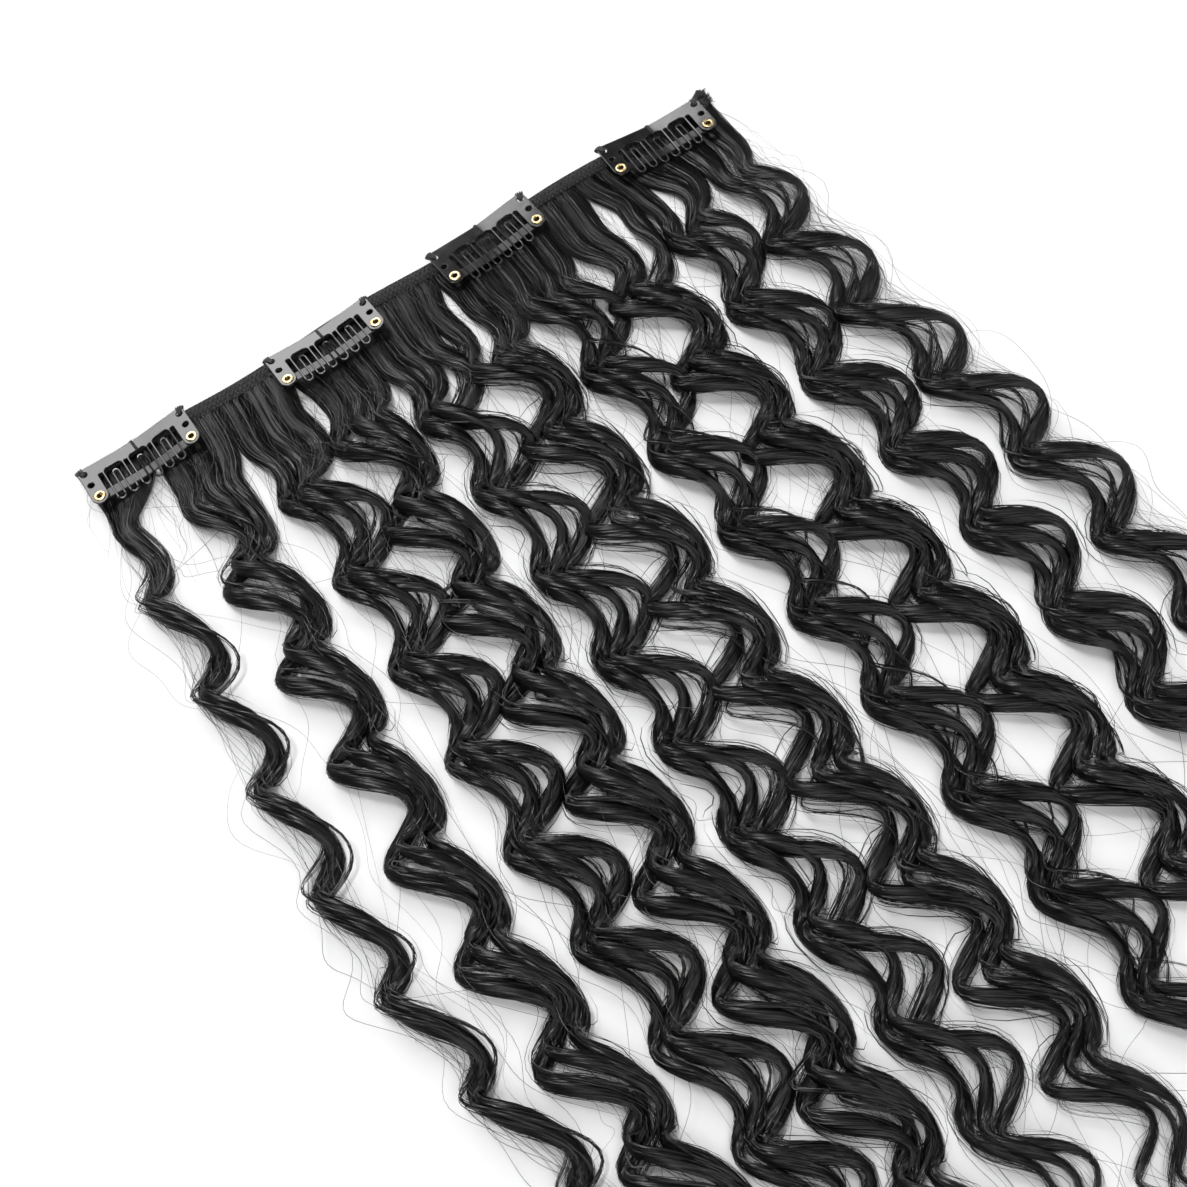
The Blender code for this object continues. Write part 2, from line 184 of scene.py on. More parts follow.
@dataclass
class Draft:
    """Points, faces and surface coordinates of one piece, gathered before they become a mesh."""

    points: list[Array] = field(default_factory=list)
    faces: list[Array] = field(default_factory=list)
    places: list[Array] = field(default_factory=list)
    count: int = 0

    def add(self, points: Array, faces: Sequence[Array], places: Array) -> None:
        """Add points, faces that index them, and a surface coordinate for each point.

        Args:
            points: Their places, in millimetres.
            faces: Groups of faces with equally many corners.
            places: A surface coordinate for each point.
        """
        self.faces += [face + self.count for face in faces]
        self.points.append(points)
        self.places.append(places)
        self.count += len(points)

    def ribbons(self, paths: Array, facing: Array, half: Array, tone: Array) -> None:
        """Add flat strips along paths.

        Args:
            paths: Strips by points by three coordinates.
            facing: Direction that each point of a strip faces.
            half: Half width at each point.
            tone: One number for each strip, its surface coordinate across.
        """
        strips, steps = half.shape
        side = unit(np.cross(np.gradient(paths, axis=1), facing)) * half[..., None]
        points = np.stack([paths - side, paths + side], axis=2).reshape(-1, 3)
        first = (np.arange(strips)[:, None] * steps + np.arange(steps - 1)) * 2
        quads = np.stack([first, first + 1, first + 3, first + 2], axis=-1).reshape(-1, 4)
        length = np.linalg.norm(np.diff(paths, axis=1, prepend=paths[:, :1]), axis=-1).cumsum(axis=1)
        across = np.stack([tone, tone + TONE_WIDTH], axis=-1)[:, None, :] + np.zeros((strips, steps, 2))
        places = np.stack([across, np.repeat(length[..., None], 2, axis=-1)], axis=-1).reshape(-1, 2)
        self.add(points, [quads], places)

    def tubes(
        self, paths: Array, across: Array, upward: Array, width: Array, height: Array, sides: int
    ) -> None:
        """Add closed tubes of an oval section along paths.

        Args:
            paths: Tubes by points by three coordinates.
            across: Direction of the section's width.
            upward: Direction of its height; across times upward points along the path.
            width: Half width at each point.
            height: Half height at each point.
            sides: Number of sides.
        """
        count, steps = width.shape
        points, places = self._sections(paths, across, upward, width, height, sides)
        ring = np.arange(sides)
        base = (np.arange(count)[:, None] * steps + np.arange(steps - 1)).reshape(-1, 1) * sides
        follow = (ring + 1) % sides
        quads = np.stack([base + ring, base + follow, base + sides + follow, base + sides + ring], axis=-1)
        start = np.arange(count)[:, None] * steps * sides
        caps = np.concatenate([start + ring[::-1], start + (steps - 1) * sides + ring])
        self.add(points, [quads.reshape(-1, 4), caps], places)

    def loops(
        self, paths: Array, across: Array, upward: Array, width: Array, height: Array, sides: int
    ) -> None:
        """Add tubes of an oval section that close on themselves.

        Args:
            paths: Tubes by points by three coordinates, the first point not repeated.
            across: Direction of the section's width.
            upward: Direction of its height.
            width: Half width at each point.
            height: Half height at each point.
            sides: Number of sides.
        """
        count, steps = width.shape
        points, places = self._sections(paths, across, upward, width, height, sides)
        ring = np.arange(sides)
        start = np.arange(count)[:, None] * steps
        here = (start + np.arange(steps)).reshape(-1, 1) * sides
        there = (start + (np.arange(steps) + 1) % steps).reshape(-1, 1) * sides
        follow = (ring + 1) % sides
        quads = np.stack([here + ring, here + follow, there + follow, there + ring], axis=-1)
        self.add(points, [quads.reshape(-1, 4)], places)

    @staticmethod
    def _sections(
        paths: Array, across: Array, upward: Array, width: Array, height: Array, sides: int
    ) -> tuple[Array, Array]:
        """Make the points of the tubes' sections and their surface coordinates.

        Args:
            paths: Tubes by points by three coordinates.
            across: Direction of the section's width.
            upward: Direction of its height.
            width: Half width at each point.
            height: Half height at each point.
            sides: Number of sides.

        Returns:
            The points and the coordinates, in the same order.
        """
        angle = TAU * np.arange(sides) / sides
        reach = across[:, :, None] * (width[..., None] * np.cos(angle))[..., None]
        rise = upward[:, :, None] * (height[..., None] * np.sin(angle))[..., None]
        points = (paths[:, :, None] + reach + rise).reshape(-1, 3)
        length = np.linalg.norm(np.diff(paths, axis=1, prepend=paths[:, :1]), axis=-1).cumsum(axis=1)
        around = np.broadcast_to(angle / TAU * AROUND, (*width.shape, sides))
        places = np.stack([around, np.repeat(length[..., None], sides, axis=-1)], axis=-1).reshape(-1, 2)
        return points, places

    def piece(self, name: str, material: bpy.types.Material, slot: Slot) -> bpy.types.Object:
        """Make the gathered points into one named object.

        Args:
            name: The piece's name.
            material: Its finish.
            slot: Not used.

        Returns:
            The object, in metres.
        """
        points = np.concatenate(self.points) * MM
        loops = np.concatenate([face.ravel() for face in self.faces]).astype(np.int32)
        sizes = np.concatenate([np.full(len(face), face.shape[1]) for face in self.faces])
        mesh = bpy.data.meshes.new(name)
        mesh.vertices.add(len(points))
        mesh.vertices.foreach_set("co", points.astype(np.float32).ravel())
        mesh.loops.add(len(loops))
        mesh.loops.foreach_set("vertex_index", loops)
        mesh.polygons.add(len(sizes))
        mesh.polygons.foreach_set("loop_start", (np.cumsum(sizes) - sizes).astype(np.int32))
        mesh.update(calc_edges=True)
        layer = mesh.uv_layers.new(name="UVMap")
        layer.data.foreach_set("uv", np.concatenate(self.places)[loops].astype(np.float32).ravel())
        mesh.shade_smooth()
        return placed_piece(name, mesh, material)


def placed_piece(
    name: str, mesh: bpy.types.Mesh, material: bpy.types.Material
) -> bpy.types.Object:
    """Link a mesh as a named piece with one finish.

    Args:
        name: The piece's name.
        mesh: Its mesh, in metres.
        material: Its finish.

    Returns:
        The object.
    """
    mesh.materials.clear()
    mesh.materials.append(material)
    piece = bpy.data.objects.new(name, mesh)
    bpy.context.scene.collection.objects.link(piece)
    return piece


def report(piece: bpy.types.Object) -> None:
    """Write a piece's name and its number of triangles to the log."""
    triangles = sum(len(face.vertices) - 2 for face in piece.data.polygons)
    log.info("%s: %d triangles", piece.name, triangles)


# Finishes


class Sheet:
    """A new node material with a Principled shader, and short ways to add nodes to it."""

    def __init__(self, name: str, roughness: float, metallic: float = 0.0, specular: float = 0.5) -> None:
        """Start the material.

        Args:
            name: The material's name.
            roughness: Roughness of the shader where no node sets it.
            metallic: Metallic value.
            specular: Strength of the clear reflection.
        """
        self.material = bpy.data.materials.new(name)
        self.material.use_nodes = True
        self.tree = self.material.node_tree
        self.shader = self.tree.nodes["Principled BSDF"]
        self.shader.inputs["Roughness"].default_value = roughness
        self.shader.inputs["Metallic"].default_value = metallic
        self.shader.inputs["Specular IOR Level"].default_value = specular

    def node(self, kind: str, **inputs: float | tuple) -> bpy.types.Node:
        """Add a node and set its inputs, an underscore standing for a space in their names.

        Args:
            kind: Blender's name for the node.
            inputs: Values of its inputs.

        Returns:
            The node.
        """
        made = self.tree.nodes.new(kind)
        for name, value in inputs.items():
            made.inputs[name.replace("_", " ")].default_value = value
        return made

    def link(self, output: bpy.types.NodeSocket, target: bpy.types.NodeSocket) -> None:
        """Join an output to an input."""
        self.tree.links.new(output, target)

    def surface_place(self, scale: Place) -> bpy.types.NodeSocket:
        """Give the mesh's own surface coordinates, scaled.

        Args:
            scale: Scale across, along and through the surface.

        Returns:
            The output that gives them.
        """
        source = self.node("ShaderNodeUVMap")
        source.uv_map = "UVMap"
        mapping = self.node("ShaderNodeMapping", Scale=scale)
        self.link(source.outputs["UV"], mapping.inputs["Vector"])
        return mapping.outputs["Vector"]

    def space_place(self) -> bpy.types.NodeSocket:
        """Give the piece's own coordinates."""
        return self.node("ShaderNodeTexCoord").outputs["Object"]

    def noise(self, place: bpy.types.NodeSocket, scale: float, detail: float = 3.0) -> bpy.types.NodeSocket:
        """Give a noise pattern at a place.

        Args:
            place: Where the pattern is read.
            scale: How fine it is.
            detail: How many finer layers it has.

        Returns:
            The output that gives it.
        """
        made = self.node("ShaderNodeTexNoise", Scale=scale, Detail=detail)
        self.link(place, made.inputs["Vector"])
        return made.outputs["Fac"]

    def ramp(self, value: bpy.types.NodeSocket, dark: tuple, light: tuple, low: float, high: float) -> None:
        """Colour the shader from dark to light as the value goes from low to high.

        Args:
            value: The value.
            dark: Colour at and under the low limit.
            light: Colour at and over the high limit.
            low: Low limit.
            high: High limit.
        """
        made = self.node("ShaderNodeValToRGB")
        made.color_ramp.elements[0].position = low
        made.color_ramp.elements[0].color = (*dark, 1.0)
        made.color_ramp.elements[1].position = high
        made.color_ramp.elements[1].color = (*light, 1.0)
        self.link(value, made.inputs["Fac"])
        self.link(made.outputs["Color"], self.shader.inputs["Base Color"])

    def rough(self, value: bpy.types.NodeSocket, low: float, high: float) -> None:
        """Let the roughness follow a value between two limits.

        Args:
            value: The value.
            low: Roughness where it is 0.
            high: Roughness where it is 1.
        """
        made = self.node("ShaderNodeMapRange", To_Min=low, To_Max=high)
        self.link(value, made.inputs["Value"])
        self.link(made.outputs["Result"], self.shader.inputs["Roughness"])

    def bump(self, value: bpy.types.NodeSocket, strength: float, depth: float) -> None:
        """Raise the surface by a value, to a depth in millimetres.

        Args:
            value: The value.
            strength: Strength of the bump.
            depth: Its depth, in millimetres.
        """
        made = self.node("ShaderNodeBump", Strength=strength, Distance=depth * MM)
        self.link(value, made.inputs["Height"])
        self.link(made.outputs["Normal"], self.shader.inputs["Normal"])


@dataclass(frozen=True)
class HairFinish:
    """Black hair: each strand has its own shade and gloss, with fine streaks along it."""

    name: str = "black_hair"
    dark: Place = (0.0009, 0.0008, 0.0009)
    light: Place = (0.0052, 0.0049, 0.0049)
    smooth: float = 0.26
    dull: float = 0.44
    streak_bump: float = 0.0
    specular: float = 0.41
    streaks: Place = (5.0, 0.03, 1.0)
    gloss_streaks: Place = (3.0, 0.05, 1.0)
    fine_streaks: Place = (9.0, 0.02, 1.0)

    def material(self) -> bpy.types.Material:
        """Make the material.

        Returns:
            The material.
        """
        sheet = Sheet(self.name, self.smooth, specular=self.specular)
        streaks = sheet.noise(sheet.surface_place(self.streaks), 1.0, 4.0)
        sheet.ramp(streaks, self.dark, self.light, 0.35, 0.68)
        gloss = sheet.noise(sheet.surface_place(self.gloss_streaks), 1.3)
        sheet.rough(gloss, self.smooth, self.dull)
        if self.streak_bump:
            fine = sheet.noise(sheet.surface_place(self.fine_streaks), 1.6, 2.0)
            sheet.bump(fine, self.streak_bump, 0.25)
        return sheet.material


@dataclass(frozen=True)
class ThreadFinish:
    """Black sewing thread with a twist and a slight sheen."""

    name: str = "black_thread"
    dark: Place = (0.004, 0.004, 0.004)
    light: Place = (0.022, 0.021, 0.021)

    def material(self) -> bpy.types.Material:
        """Make the material.

        Returns:
            The material.
        """
        sheet = Sheet(self.name, 0.42, specular=0.5)
        twist = sheet.node("ShaderNodeTexWave", Scale=1.0, Distortion=0.6, Detail=1.0)
        twist.bands_direction = "DIAGONAL"
        sheet.link(sheet.surface_place((0.5, 1.4, 1.0)), twist.inputs["Vector"])
        sheet.ramp(twist.outputs["Fac"], self.dark, self.light, 0.2, 0.9)
        sheet.rough(sheet.noise(sheet.space_place(), 700.0), 0.34, 0.6)
        sheet.bump(twist.outputs["Fac"], 0.5, 0.06)
        return sheet.material


@dataclass(frozen=True)
class BandFinish:
    """The band's ground: black hair bound by rows of thread, dull between the stitches."""

    name: str = "black_band"
    dark: Place = (0.003, 0.003, 0.003)
    light: Place = (0.013, 0.0125, 0.0125)

    def material(self) -> bpy.types.Material:
        """Make the material.

        Returns:
            The material.
        """
        sheet = Sheet(self.name, 0.6, specular=0.4)
        place = sheet.space_place()
        weave = sheet.noise(place, 900.0, 4.0)
        sheet.ramp(weave, self.dark, self.light, 0.3, 0.75)
        sheet.rough(sheet.noise(place, 400.0), 0.45, 0.8)
        sheet.bump(weave, 0.7, 0.15)
        return sheet.material


@dataclass(frozen=True)
class PaintFinish:
    """Black enamel on steel: a clear gloss with a faint ripple, duller where it is handled."""

    name: str = "black_enamel"
    colour: Place = (0.006, 0.006, 0.0065)
    worn: Place = (0.020, 0.020, 0.021)
    smooth: float = 0.08
    dull: float = 0.19
    specular: float = 0.5
    coat: float = 0.35

    def material(self) -> bpy.types.Material:
        """Make the material.

        Returns:
            The material.
        """
        sheet = Sheet(self.name, self.smooth, specular=self.specular)
        place = sheet.space_place()
        sheet.ramp(sheet.noise(place, 260.0, 5.0), self.colour, self.worn, 0.45, 0.8)
        sheet.rough(sheet.noise(place, 120.0, 4.0), self.smooth, self.dull)
        sheet.bump(sheet.noise(place, 75.0, 3.0), 0.4, 0.3)
        sheet.shader.inputs["Coat Weight"].default_value = self.coat
        sheet.shader.inputs["Coat Roughness"].default_value = self.smooth
        return sheet.material


@dataclass(frozen=True)
class BrassFinish:
    """Pale brass plate with faint turning marks and slight tarnish."""

    name: str = "pale_brass"
    deep: Place = (0.55, 0.36, 0.12)
    bright: Place = (0.92, 0.75, 0.42)

    def material(self) -> bpy.types.Material:
        """Make the material.

        Returns:
            The material.
        """
        sheet = Sheet(self.name, 0.25, metallic=1.0)
        place = sheet.space_place()
        sheet.ramp(sheet.noise(place, 1400.0, 3.0), self.deep, self.bright, 0.25, 0.6)
        sheet.rough(sheet.noise(place, 2200.0), 0.18, 0.38)
        sheet.bump(sheet.noise(sheet.surface_place((0.3, 9.0, 1.0)), 1.5), 0.3, 0.02)
        return sheet.material


@dataclass(frozen=True)
class FloorFinish:
    """A matt white floor."""

    name: str = "white_floor"
    shade: Place = (0.93, 0.93, 0.93)
    tint: Place = (0.95, 0.95, 0.95)

    def material(self) -> bpy.types.Material:
        """Make the material.

        Returns:
            The material.
        """
        sheet = Sheet(self.name, 0.9, specular=0.1)
        sheet.ramp(sheet.noise(sheet.space_place(), 3.0), self.shade, self.tint, 0.3, 0.7)
        return sheet.material


# Hair


@dataclass(frozen=True)
class Lock:
    """One lock of the part's source: where its middle line runs, its width and its curl."""

    root_x: float
    gather_x: float
    middle_x: float
    tip_x: float
    half_width: float
    curl_length: float
    swing: float
    skew: float
    phase: float
    length_share: float
    ribbons: int = 3
    gather_span: Span = (8.0, 46.0)
    meet: Side = Side.LEFT


LOCKS = (
    Lock(-92.6, -98.5, -100.5, -62.0, 4.0, 29.5, 4.9, 2.4, 113, 0.96, 1, (0.0, 19.0), Side.RIGHT),
    Lock(-72.4, -74.5, -77.0, -56.0, 6.4, 28.5, 5.2, 1.8, 30, 1.00, 3, (6.0, 36.0), Side.RIGHT),
    Lock(-51.6, -52.0, -54.0, -41.0, 7.2, 27.5, 5.0, 1.2, 150, 0.96, 3, (10.0, 48.0), Side.LEFT),
    Lock(-31.0, -31.0, -31.5, -22.0, 7.4, 28.5, 5.2, 1.6, 250, 1.00, 3, (8.0, 44.0), Side.RIGHT),
    Lock(-10.3, -10.0, -10.0, -2.0, 7.4, 27.0, 5.0, 0.8, 95, 0.98, 3, (10.0, 50.0), Side.LEFT),
    Lock(10.3, 11.0, 13.0, 22.0, 7.4, 28.0, 5.2, 1.4, 200, 1.00, 3, (8.0, 44.0), Side.RIGHT),
    Lock(31.0, 32.0, 37.0, 46.0, 7.2, 28.5, 5.2, 0.8, 330, 0.97, 3, (10.0, 48.0), Side.LEFT),
    Lock(51.6, 53.0, 61.0, 72.0, 7.0, 28.0, 5.4, 1.2, 110, 1.00, 3, (6.0, 40.0), Side.RIGHT),
    Lock(72.4, 74.0, 85.0, 98.0, 6.6, 28.5, 5.4, 0.6, 235, 0.98, 3, (6.0, 38.0), Side.LEFT),
    Lock(92.4, 94.0, 108.0, 122.0, 5.6, 29.0, 5.6, 0.8, 1, 0.96, 2, (2.0, 30.0), Side.LEFT),
)


@dataclass(frozen=True)
class Parting:
    """A narrow gap in the hair under a clip's end: its place along the band and how far each side gives."""

    x: float
    left: float
    right: float
    span: Place


PARTINGS = (
    Parting(-41.2, 2.0, 3.0, (3.0, 14.0, 40.0)),
    Parting(6.93, 2.4, 1.6, (2.0, 10.0, 34.0)),
    Parting(55.1, 1.0, 6.0, (1.0, 14.0, 44.0)),
    Parting(69.1, 0.6, 5.5, (6.0, 19.0, 44.0)),
)


@dataclass(frozen=True)
class Ribbon:
    """A flat ribbon of strands within a lock."""

    lock: Lock
    place: float
    root_x: float
    root_half: float
    half_width: float
    half_thick: float
    phase_shift: float
    swing_share: float
    layer: float
    reach: float
    drift: Wander


@dataclass(frozen=True)
class Course:
    """Where a ribbon runs: its middle line and the two directions of its section."""

    centre: Array
    across: Array
    outward: Array
    half_width: Array
    half_thick: Array


@dataclass(frozen=True)
class Curl:
    """How every lock runs and coils, as in the part's source, and how a ribbon lies along it."""

    length: float = 334.0
    band_half: float = 2.2
    floor: float = 0.1
    lock_thickness: float = 2.0
    lift: float = 2.0
    cusp: float = 1.2
    curl_span: Span = (10.0, 44.0)
    middle_span: Span = (0.14, 0.48)
    tip_span: Span = (0.40, 1.0)
    taper_start: float = 0.72
    lock_tip_half: float = 2.0
    turn_share: float = 0.12
    rock: float = 52.0
    meet_share: float = 0.55
    spread_share: float = 1.12
    edge_inset: float = 1.125
    parting_fade: float = 11.0
    root_thick: float = 0.85
    band_thick: float = 0.25
    leaving_span: Span = (0.0, 6.0)
    width_loss: float = 0.7
    thick_loss: float = 0.6

    def line(self, ribbon: Ribbon, run: Array) -> tuple[Array, Array, Array]:
        """Follow a ribbon's middle line, its lock's path in the part's source with its own shift.

        Args:
            ribbon: The ribbon.
            run: Distance from the band, for each strand (rows) and step (columns).

        Returns:
            The middle line's points, the coil's angle and how far the curl has started.
        """
        lock = ribbon.lock
        share = run / self.length
        curl = span_share(run, self.curl_span)
        gathered = span_share(run, lock.gather_span)
        angle = TAU * run / lock.curl_length + math.radians(lock.phase)
        angle = angle + ribbon.phase_shift + ribbon.drift.at(run)
        done = span_share(share / lock.length_share, (self.taper_start, 1))
        own_half = mixed(lock.half_width, self.lock_tip_half, done)
        spread = 1 - self.meet_share * curl * (0.5 + 0.5 * lock.meet.value * np.sin(angle))
        x = lock.gather_x + (lock.middle_x - lock.gather_x) * span_share(share, self.middle_span)
        x = x + (lock.tip_x - lock.middle_x) * span_share(share, self.tip_span)
        x = x + ribbon.place * np.maximum(own_half - self.edge_inset, 0.0) * spread * self.spread_share
        x = mixed(ribbon.root_x, x, gathered) + curl * lock.swing * ribbon.swing_share * np.sin(angle)
        for parting in PARTINGS:
            start, widest, end = parting.span
            side = ribbon.root_x - parting.x
            give = (parting.right if side > 0 else -parting.left) * math.exp(-abs(side) / self.parting_fade)
            x = x + give * span_share(run, (start, widest)) * span_share(run, (end, widest))
        y = -self.band_half - run + curl * (self.cusp * np.cos(angle) - lock.skew * np.sin(angle))
        z = self.floor + self.lock_thickness / 2 + curl * (self.lift * (1 + np.cos(angle)) + ribbon.layer)
        return np.stack([x, y, z], axis=-1), angle, curl

    def course(self, ribbon: Ribbon, run: Array) -> Course:
        """Work out a ribbon's middle line and its sections, which lie flat and lean out at each crest.

        Args:
            ribbon: The ribbon.
            run: Distance from the band, for each strand (rows) and step (columns).

        Returns:
            The course.
        """
        centre, angle, curl = self.line(ribbon, run)
        along = unit(np.gradient(centre, axis=1))
        lean = curl * math.radians(self.rock) * np.sin(angle)
        outward = np.stack([np.sin(lean), np.zeros_like(lean), np.cos(lean)], axis=-1)
        outward = unit(outward - (outward * along).sum(axis=-1, keepdims=True) * along)
        gathered = span_share(run, ribbon.lock.gather_span)
        own_share = ribbon.lock.length_share * ribbon.reach
        done = span_share(run / self.length / own_share, (self.taper_start, 1.0))
        turning = ribbon.half_width * (1 - self.turn_share * np.sin(angle) ** 2)
        width = mixed(ribbon.root_half, turning, gathered) * (1 - self.width_loss * done)
        leaving = mixed(self.band_thick, self.root_thick, span_share(run, self.leaving_span))
        thick = mixed(leaving, ribbon.half_thick, gathered) * (1 - self.thick_loss * done)
        return Course(centre, np.cross(outward, along), outward, width, thick)

    def reach(self, ribbon: Ribbon) -> float:
        """Give the distance from the band at which a ribbon ends."""
        return self.length * ribbon.lock.length_share * ribbon.reach


@dataclass(frozen=True)
class Strands:
    """How the strands of one kind lie over a ribbon, in shares of its section or in millimetres."""

    half: float = 0.115
    steps: int = 128
    start: float = -2.0
    end_share: Span = (0.84, 1.0)
    own_lengths: Span | None = None
    underside: float = 0.38
    uneven: float = 0.05
    weave: Drift = (0.16, (35.0, 130.0))
    weave_span: Span = (4.0, 40.0)
    stray_size: Span = (0.3, 1.3)
    stray_span: Span = (10.0, 60.0)
    stray_rise: Drift = (1.0, (30.0, 80.0))
    dome: float = 1.06
    dome_span: Span = (6.0, 34.0)
    layers: Span = (0.86, 1.12)
    rise: Drift = (0.1, (25.0, 90.0))
    shiver: Drift = (0.10, (9.0, 26.0))
    lowest: float = 0.12
    lowest_range: float = 0.1
    roll: float = 0.30
    roll_outward: float = 0.8
    roll_limit: float = 1.2
    sizes: Span = (0.7, 1.25)
    tip_loss: float = 0.75
    tip_span: Span = (0.8, 1.0)

    def lay(
        self, draft: Draft, curl: Curl, ribbon: Ribbon, count: int, looseness: float, rng: np.random.Generator
    ) -> None:
        """Lay strands over a ribbon, from under the band to their tips.

        Args:
            draft: The piece that they go into.
            curl: How the locks run.
            ribbon: The ribbon that they follow.
            count: How many.
            looseness: Share of strands that stray from the ribbon.
            rng: Source of the random numbers.
        """
        each = (count, 1)
        reach = curl.reach(ribbon) * rng.uniform(*self.end_share, each)
        if self.own_lengths:
            reach = rng.uniform(*self.own_lengths, each)
        run = self.start + (reach - self.start) * np.linspace(0.0, 1.0, self.steps)
        course = curl.course(ribbon, run)
        strays = rng.random(each) < looseness
        stray = strays * rng.uniform(*self.stray_size, each) * span_share(run, self.stray_span)
        across = np.linspace(-1.0, 1.0, count)[:, None] + rng.normal(0.0, self.uneven, each)
        across = across + Wander.drawn(rng, count, *self.weave).at(run) * span_share(run, self.weave_span)
        face = np.where(rng.random(each) < self.underside, -1.0, 1.0)
        dome = np.sqrt(np.clip(self.dome - np.minimum(np.abs(across), 1.0) ** 2, 0.0, 1.0))
        dome = mixed(1.0, dome, span_share(run, self.dome_span))
        depth = face * dome * rng.uniform(*self.layers, each)
        depth = depth + Wander.drawn(rng, count, *self.rise).at(run)
        across = across * (1 + stray)
        depth = depth + stray * Wander.drawn(rng, count, *self.stray_rise).at(run)
        paths = course.centre + course.across * (across * course.half_width)[..., None]
        paths = paths + course.outward * (depth * course.half_thick)[..., None]
        paths[..., 0] += Wander.drawn(rng, count, *self.shiver).at(run)
        paths[..., 2] = np.maximum(paths[..., 2], self.lowest + self.lowest_range * rng.random(each))
        turned = self.roll_outward * np.clip(across, -self.roll_limit, self.roll_limit)
        roll = rng.normal(0.0, self.roll, each) + turned
        facing = course.outward * (face * np.cos(roll))[..., None] + course.across * np.sin(roll)[..., None]
        half = self.half * rng.uniform(*self.sizes, each)
        half = half * (1 - self.tip_loss * span_share(run / reach, self.tip_span))
        draft.ribbons(paths, facing, half, rng.uniform(0.0, TONES, count))


@dataclass(frozen=True)
class LooseHairs:
    """Single hairs that bow away from a ribbon, and either come back to it or cross to one beside it."""

    count: int = 1250
    steps: int = 28
    edge_every: int = 4
    starts: Span = (2.0, 285.0)
    root_starts: Span = (0.0, 22.0)
    free_share: float = 0.8
    lengths: Span = (16.0, 90.0)
    end_share: float = 0.97
    crossing_share: float = 0.45
    neighbours: int = 4
    outward_share: float = 0.7
    bow_shape: float = 1.5
    bow_scale: float = 2.0
    bow_least: float = 0.5
    bow_most: float = 12.0
    bow_powers: Span = (0.6, 1.6)
    kinks: Span = (0.3, 1.9)
    kink_turns: Span = (0.6, 2.6)
    straightness: Span = (0.3, 1.0)
    drop: float = 3.0
    sway: float = 2.0
    rises: Span = (0.2, 1.5)
    halves: Span = (0.035, 0.065)
    end_loss: float = 0.5
    x_limits: Span = (-114.5, 135.0)
    past_tips: float = 3.0
    z_limits: Span = (0.15, 6.8)

    def lay(
        self,
        draft: Draft,
        curl: Curl,
        ribbons: Sequence[Ribbon],
        outer: Sequence[Ribbon],
        rng: np.random.Generator,
    ) -> None:
        """Scatter the hairs.

        Args:
            draft: The piece that they go into.
            curl: How the locks run.
            ribbons: All ribbons.
            outer: Those along the two outer edges, which shed more.
            rng: Source of the random numbers.
        """
        steps = np.linspace(0.0, 1.0, self.steps)
        swell = np.sin(math.pi * steps)
        for number in range(self.count):
            edge = number % self.edge_every == 0
            pool = outer if edge else ribbons
            place = int(rng.integers(len(pool)))
            ribbon = pool[place]
            starts = self.starts if rng.random() < self.free_share else self.root_starts
            run = rng.uniform(*starts) + rng.uniform(*self.lengths) * steps
            run = np.minimum(run, curl.length * self.end_share)[None, :]
            path = curl.course(ribbon, run).centre
            if not edge and rng.random() < self.crossing_share:
                beside = place + rng.integers(-self.neighbours, self.neighbours + 1)
                neighbour = ribbons[int(np.clip(beside, 0, len(ribbons) - 1))]
                path = mixed(path, curl.course(neighbour, run).centre, ease(steps)[None, :, None])
            if edge and rng.random() < self.outward_share:
                outside = math.copysign(1.0, ribbon.lock.root_x)
            else:
                outside = rng.choice((-1.0, 1.0))
            size = min(rng.gamma(self.bow_shape, self.bow_scale) + self.bow_least, self.bow_most)
            bow = swell ** rng.uniform(*self.bow_powers) * size
            kink = rng.uniform(*self.kinks)
            kink = kink * np.sin(TAU * steps * rng.uniform(*self.kink_turns) + rng.uniform(0.0, TAU))
            straight = mixed(path[:, :1], path[:, -1:], steps[None, :, None])
            path = mixed(path, straight, rng.uniform(*self.straightness))
            path[0, :, 0] += outside * bow + kink * swell
            dropped = rng.normal(0.0, self.drop) * swell
            path[0, :, 1] += dropped + rng.uniform(-self.sway, self.sway) * np.sin(TAU * steps)
            path[0, :, 2] += rng.uniform(*self.rises) * swell
            path[..., 0] = np.clip(path[..., 0], *self.x_limits)
            path[..., 1] = np.maximum(path[..., 1], -curl.length - self.past_tips)
            path[..., 2] = np.clip(path[..., 2], *self.z_limits)
            half = rng.uniform(*self.halves) * (1 - self.end_loss * np.abs(2 * steps - 1))[None, :]
            draft.ribbons(path, np.broadcast_to(UP, path.shape), half, rng.uniform(0.0, TONES, 1))


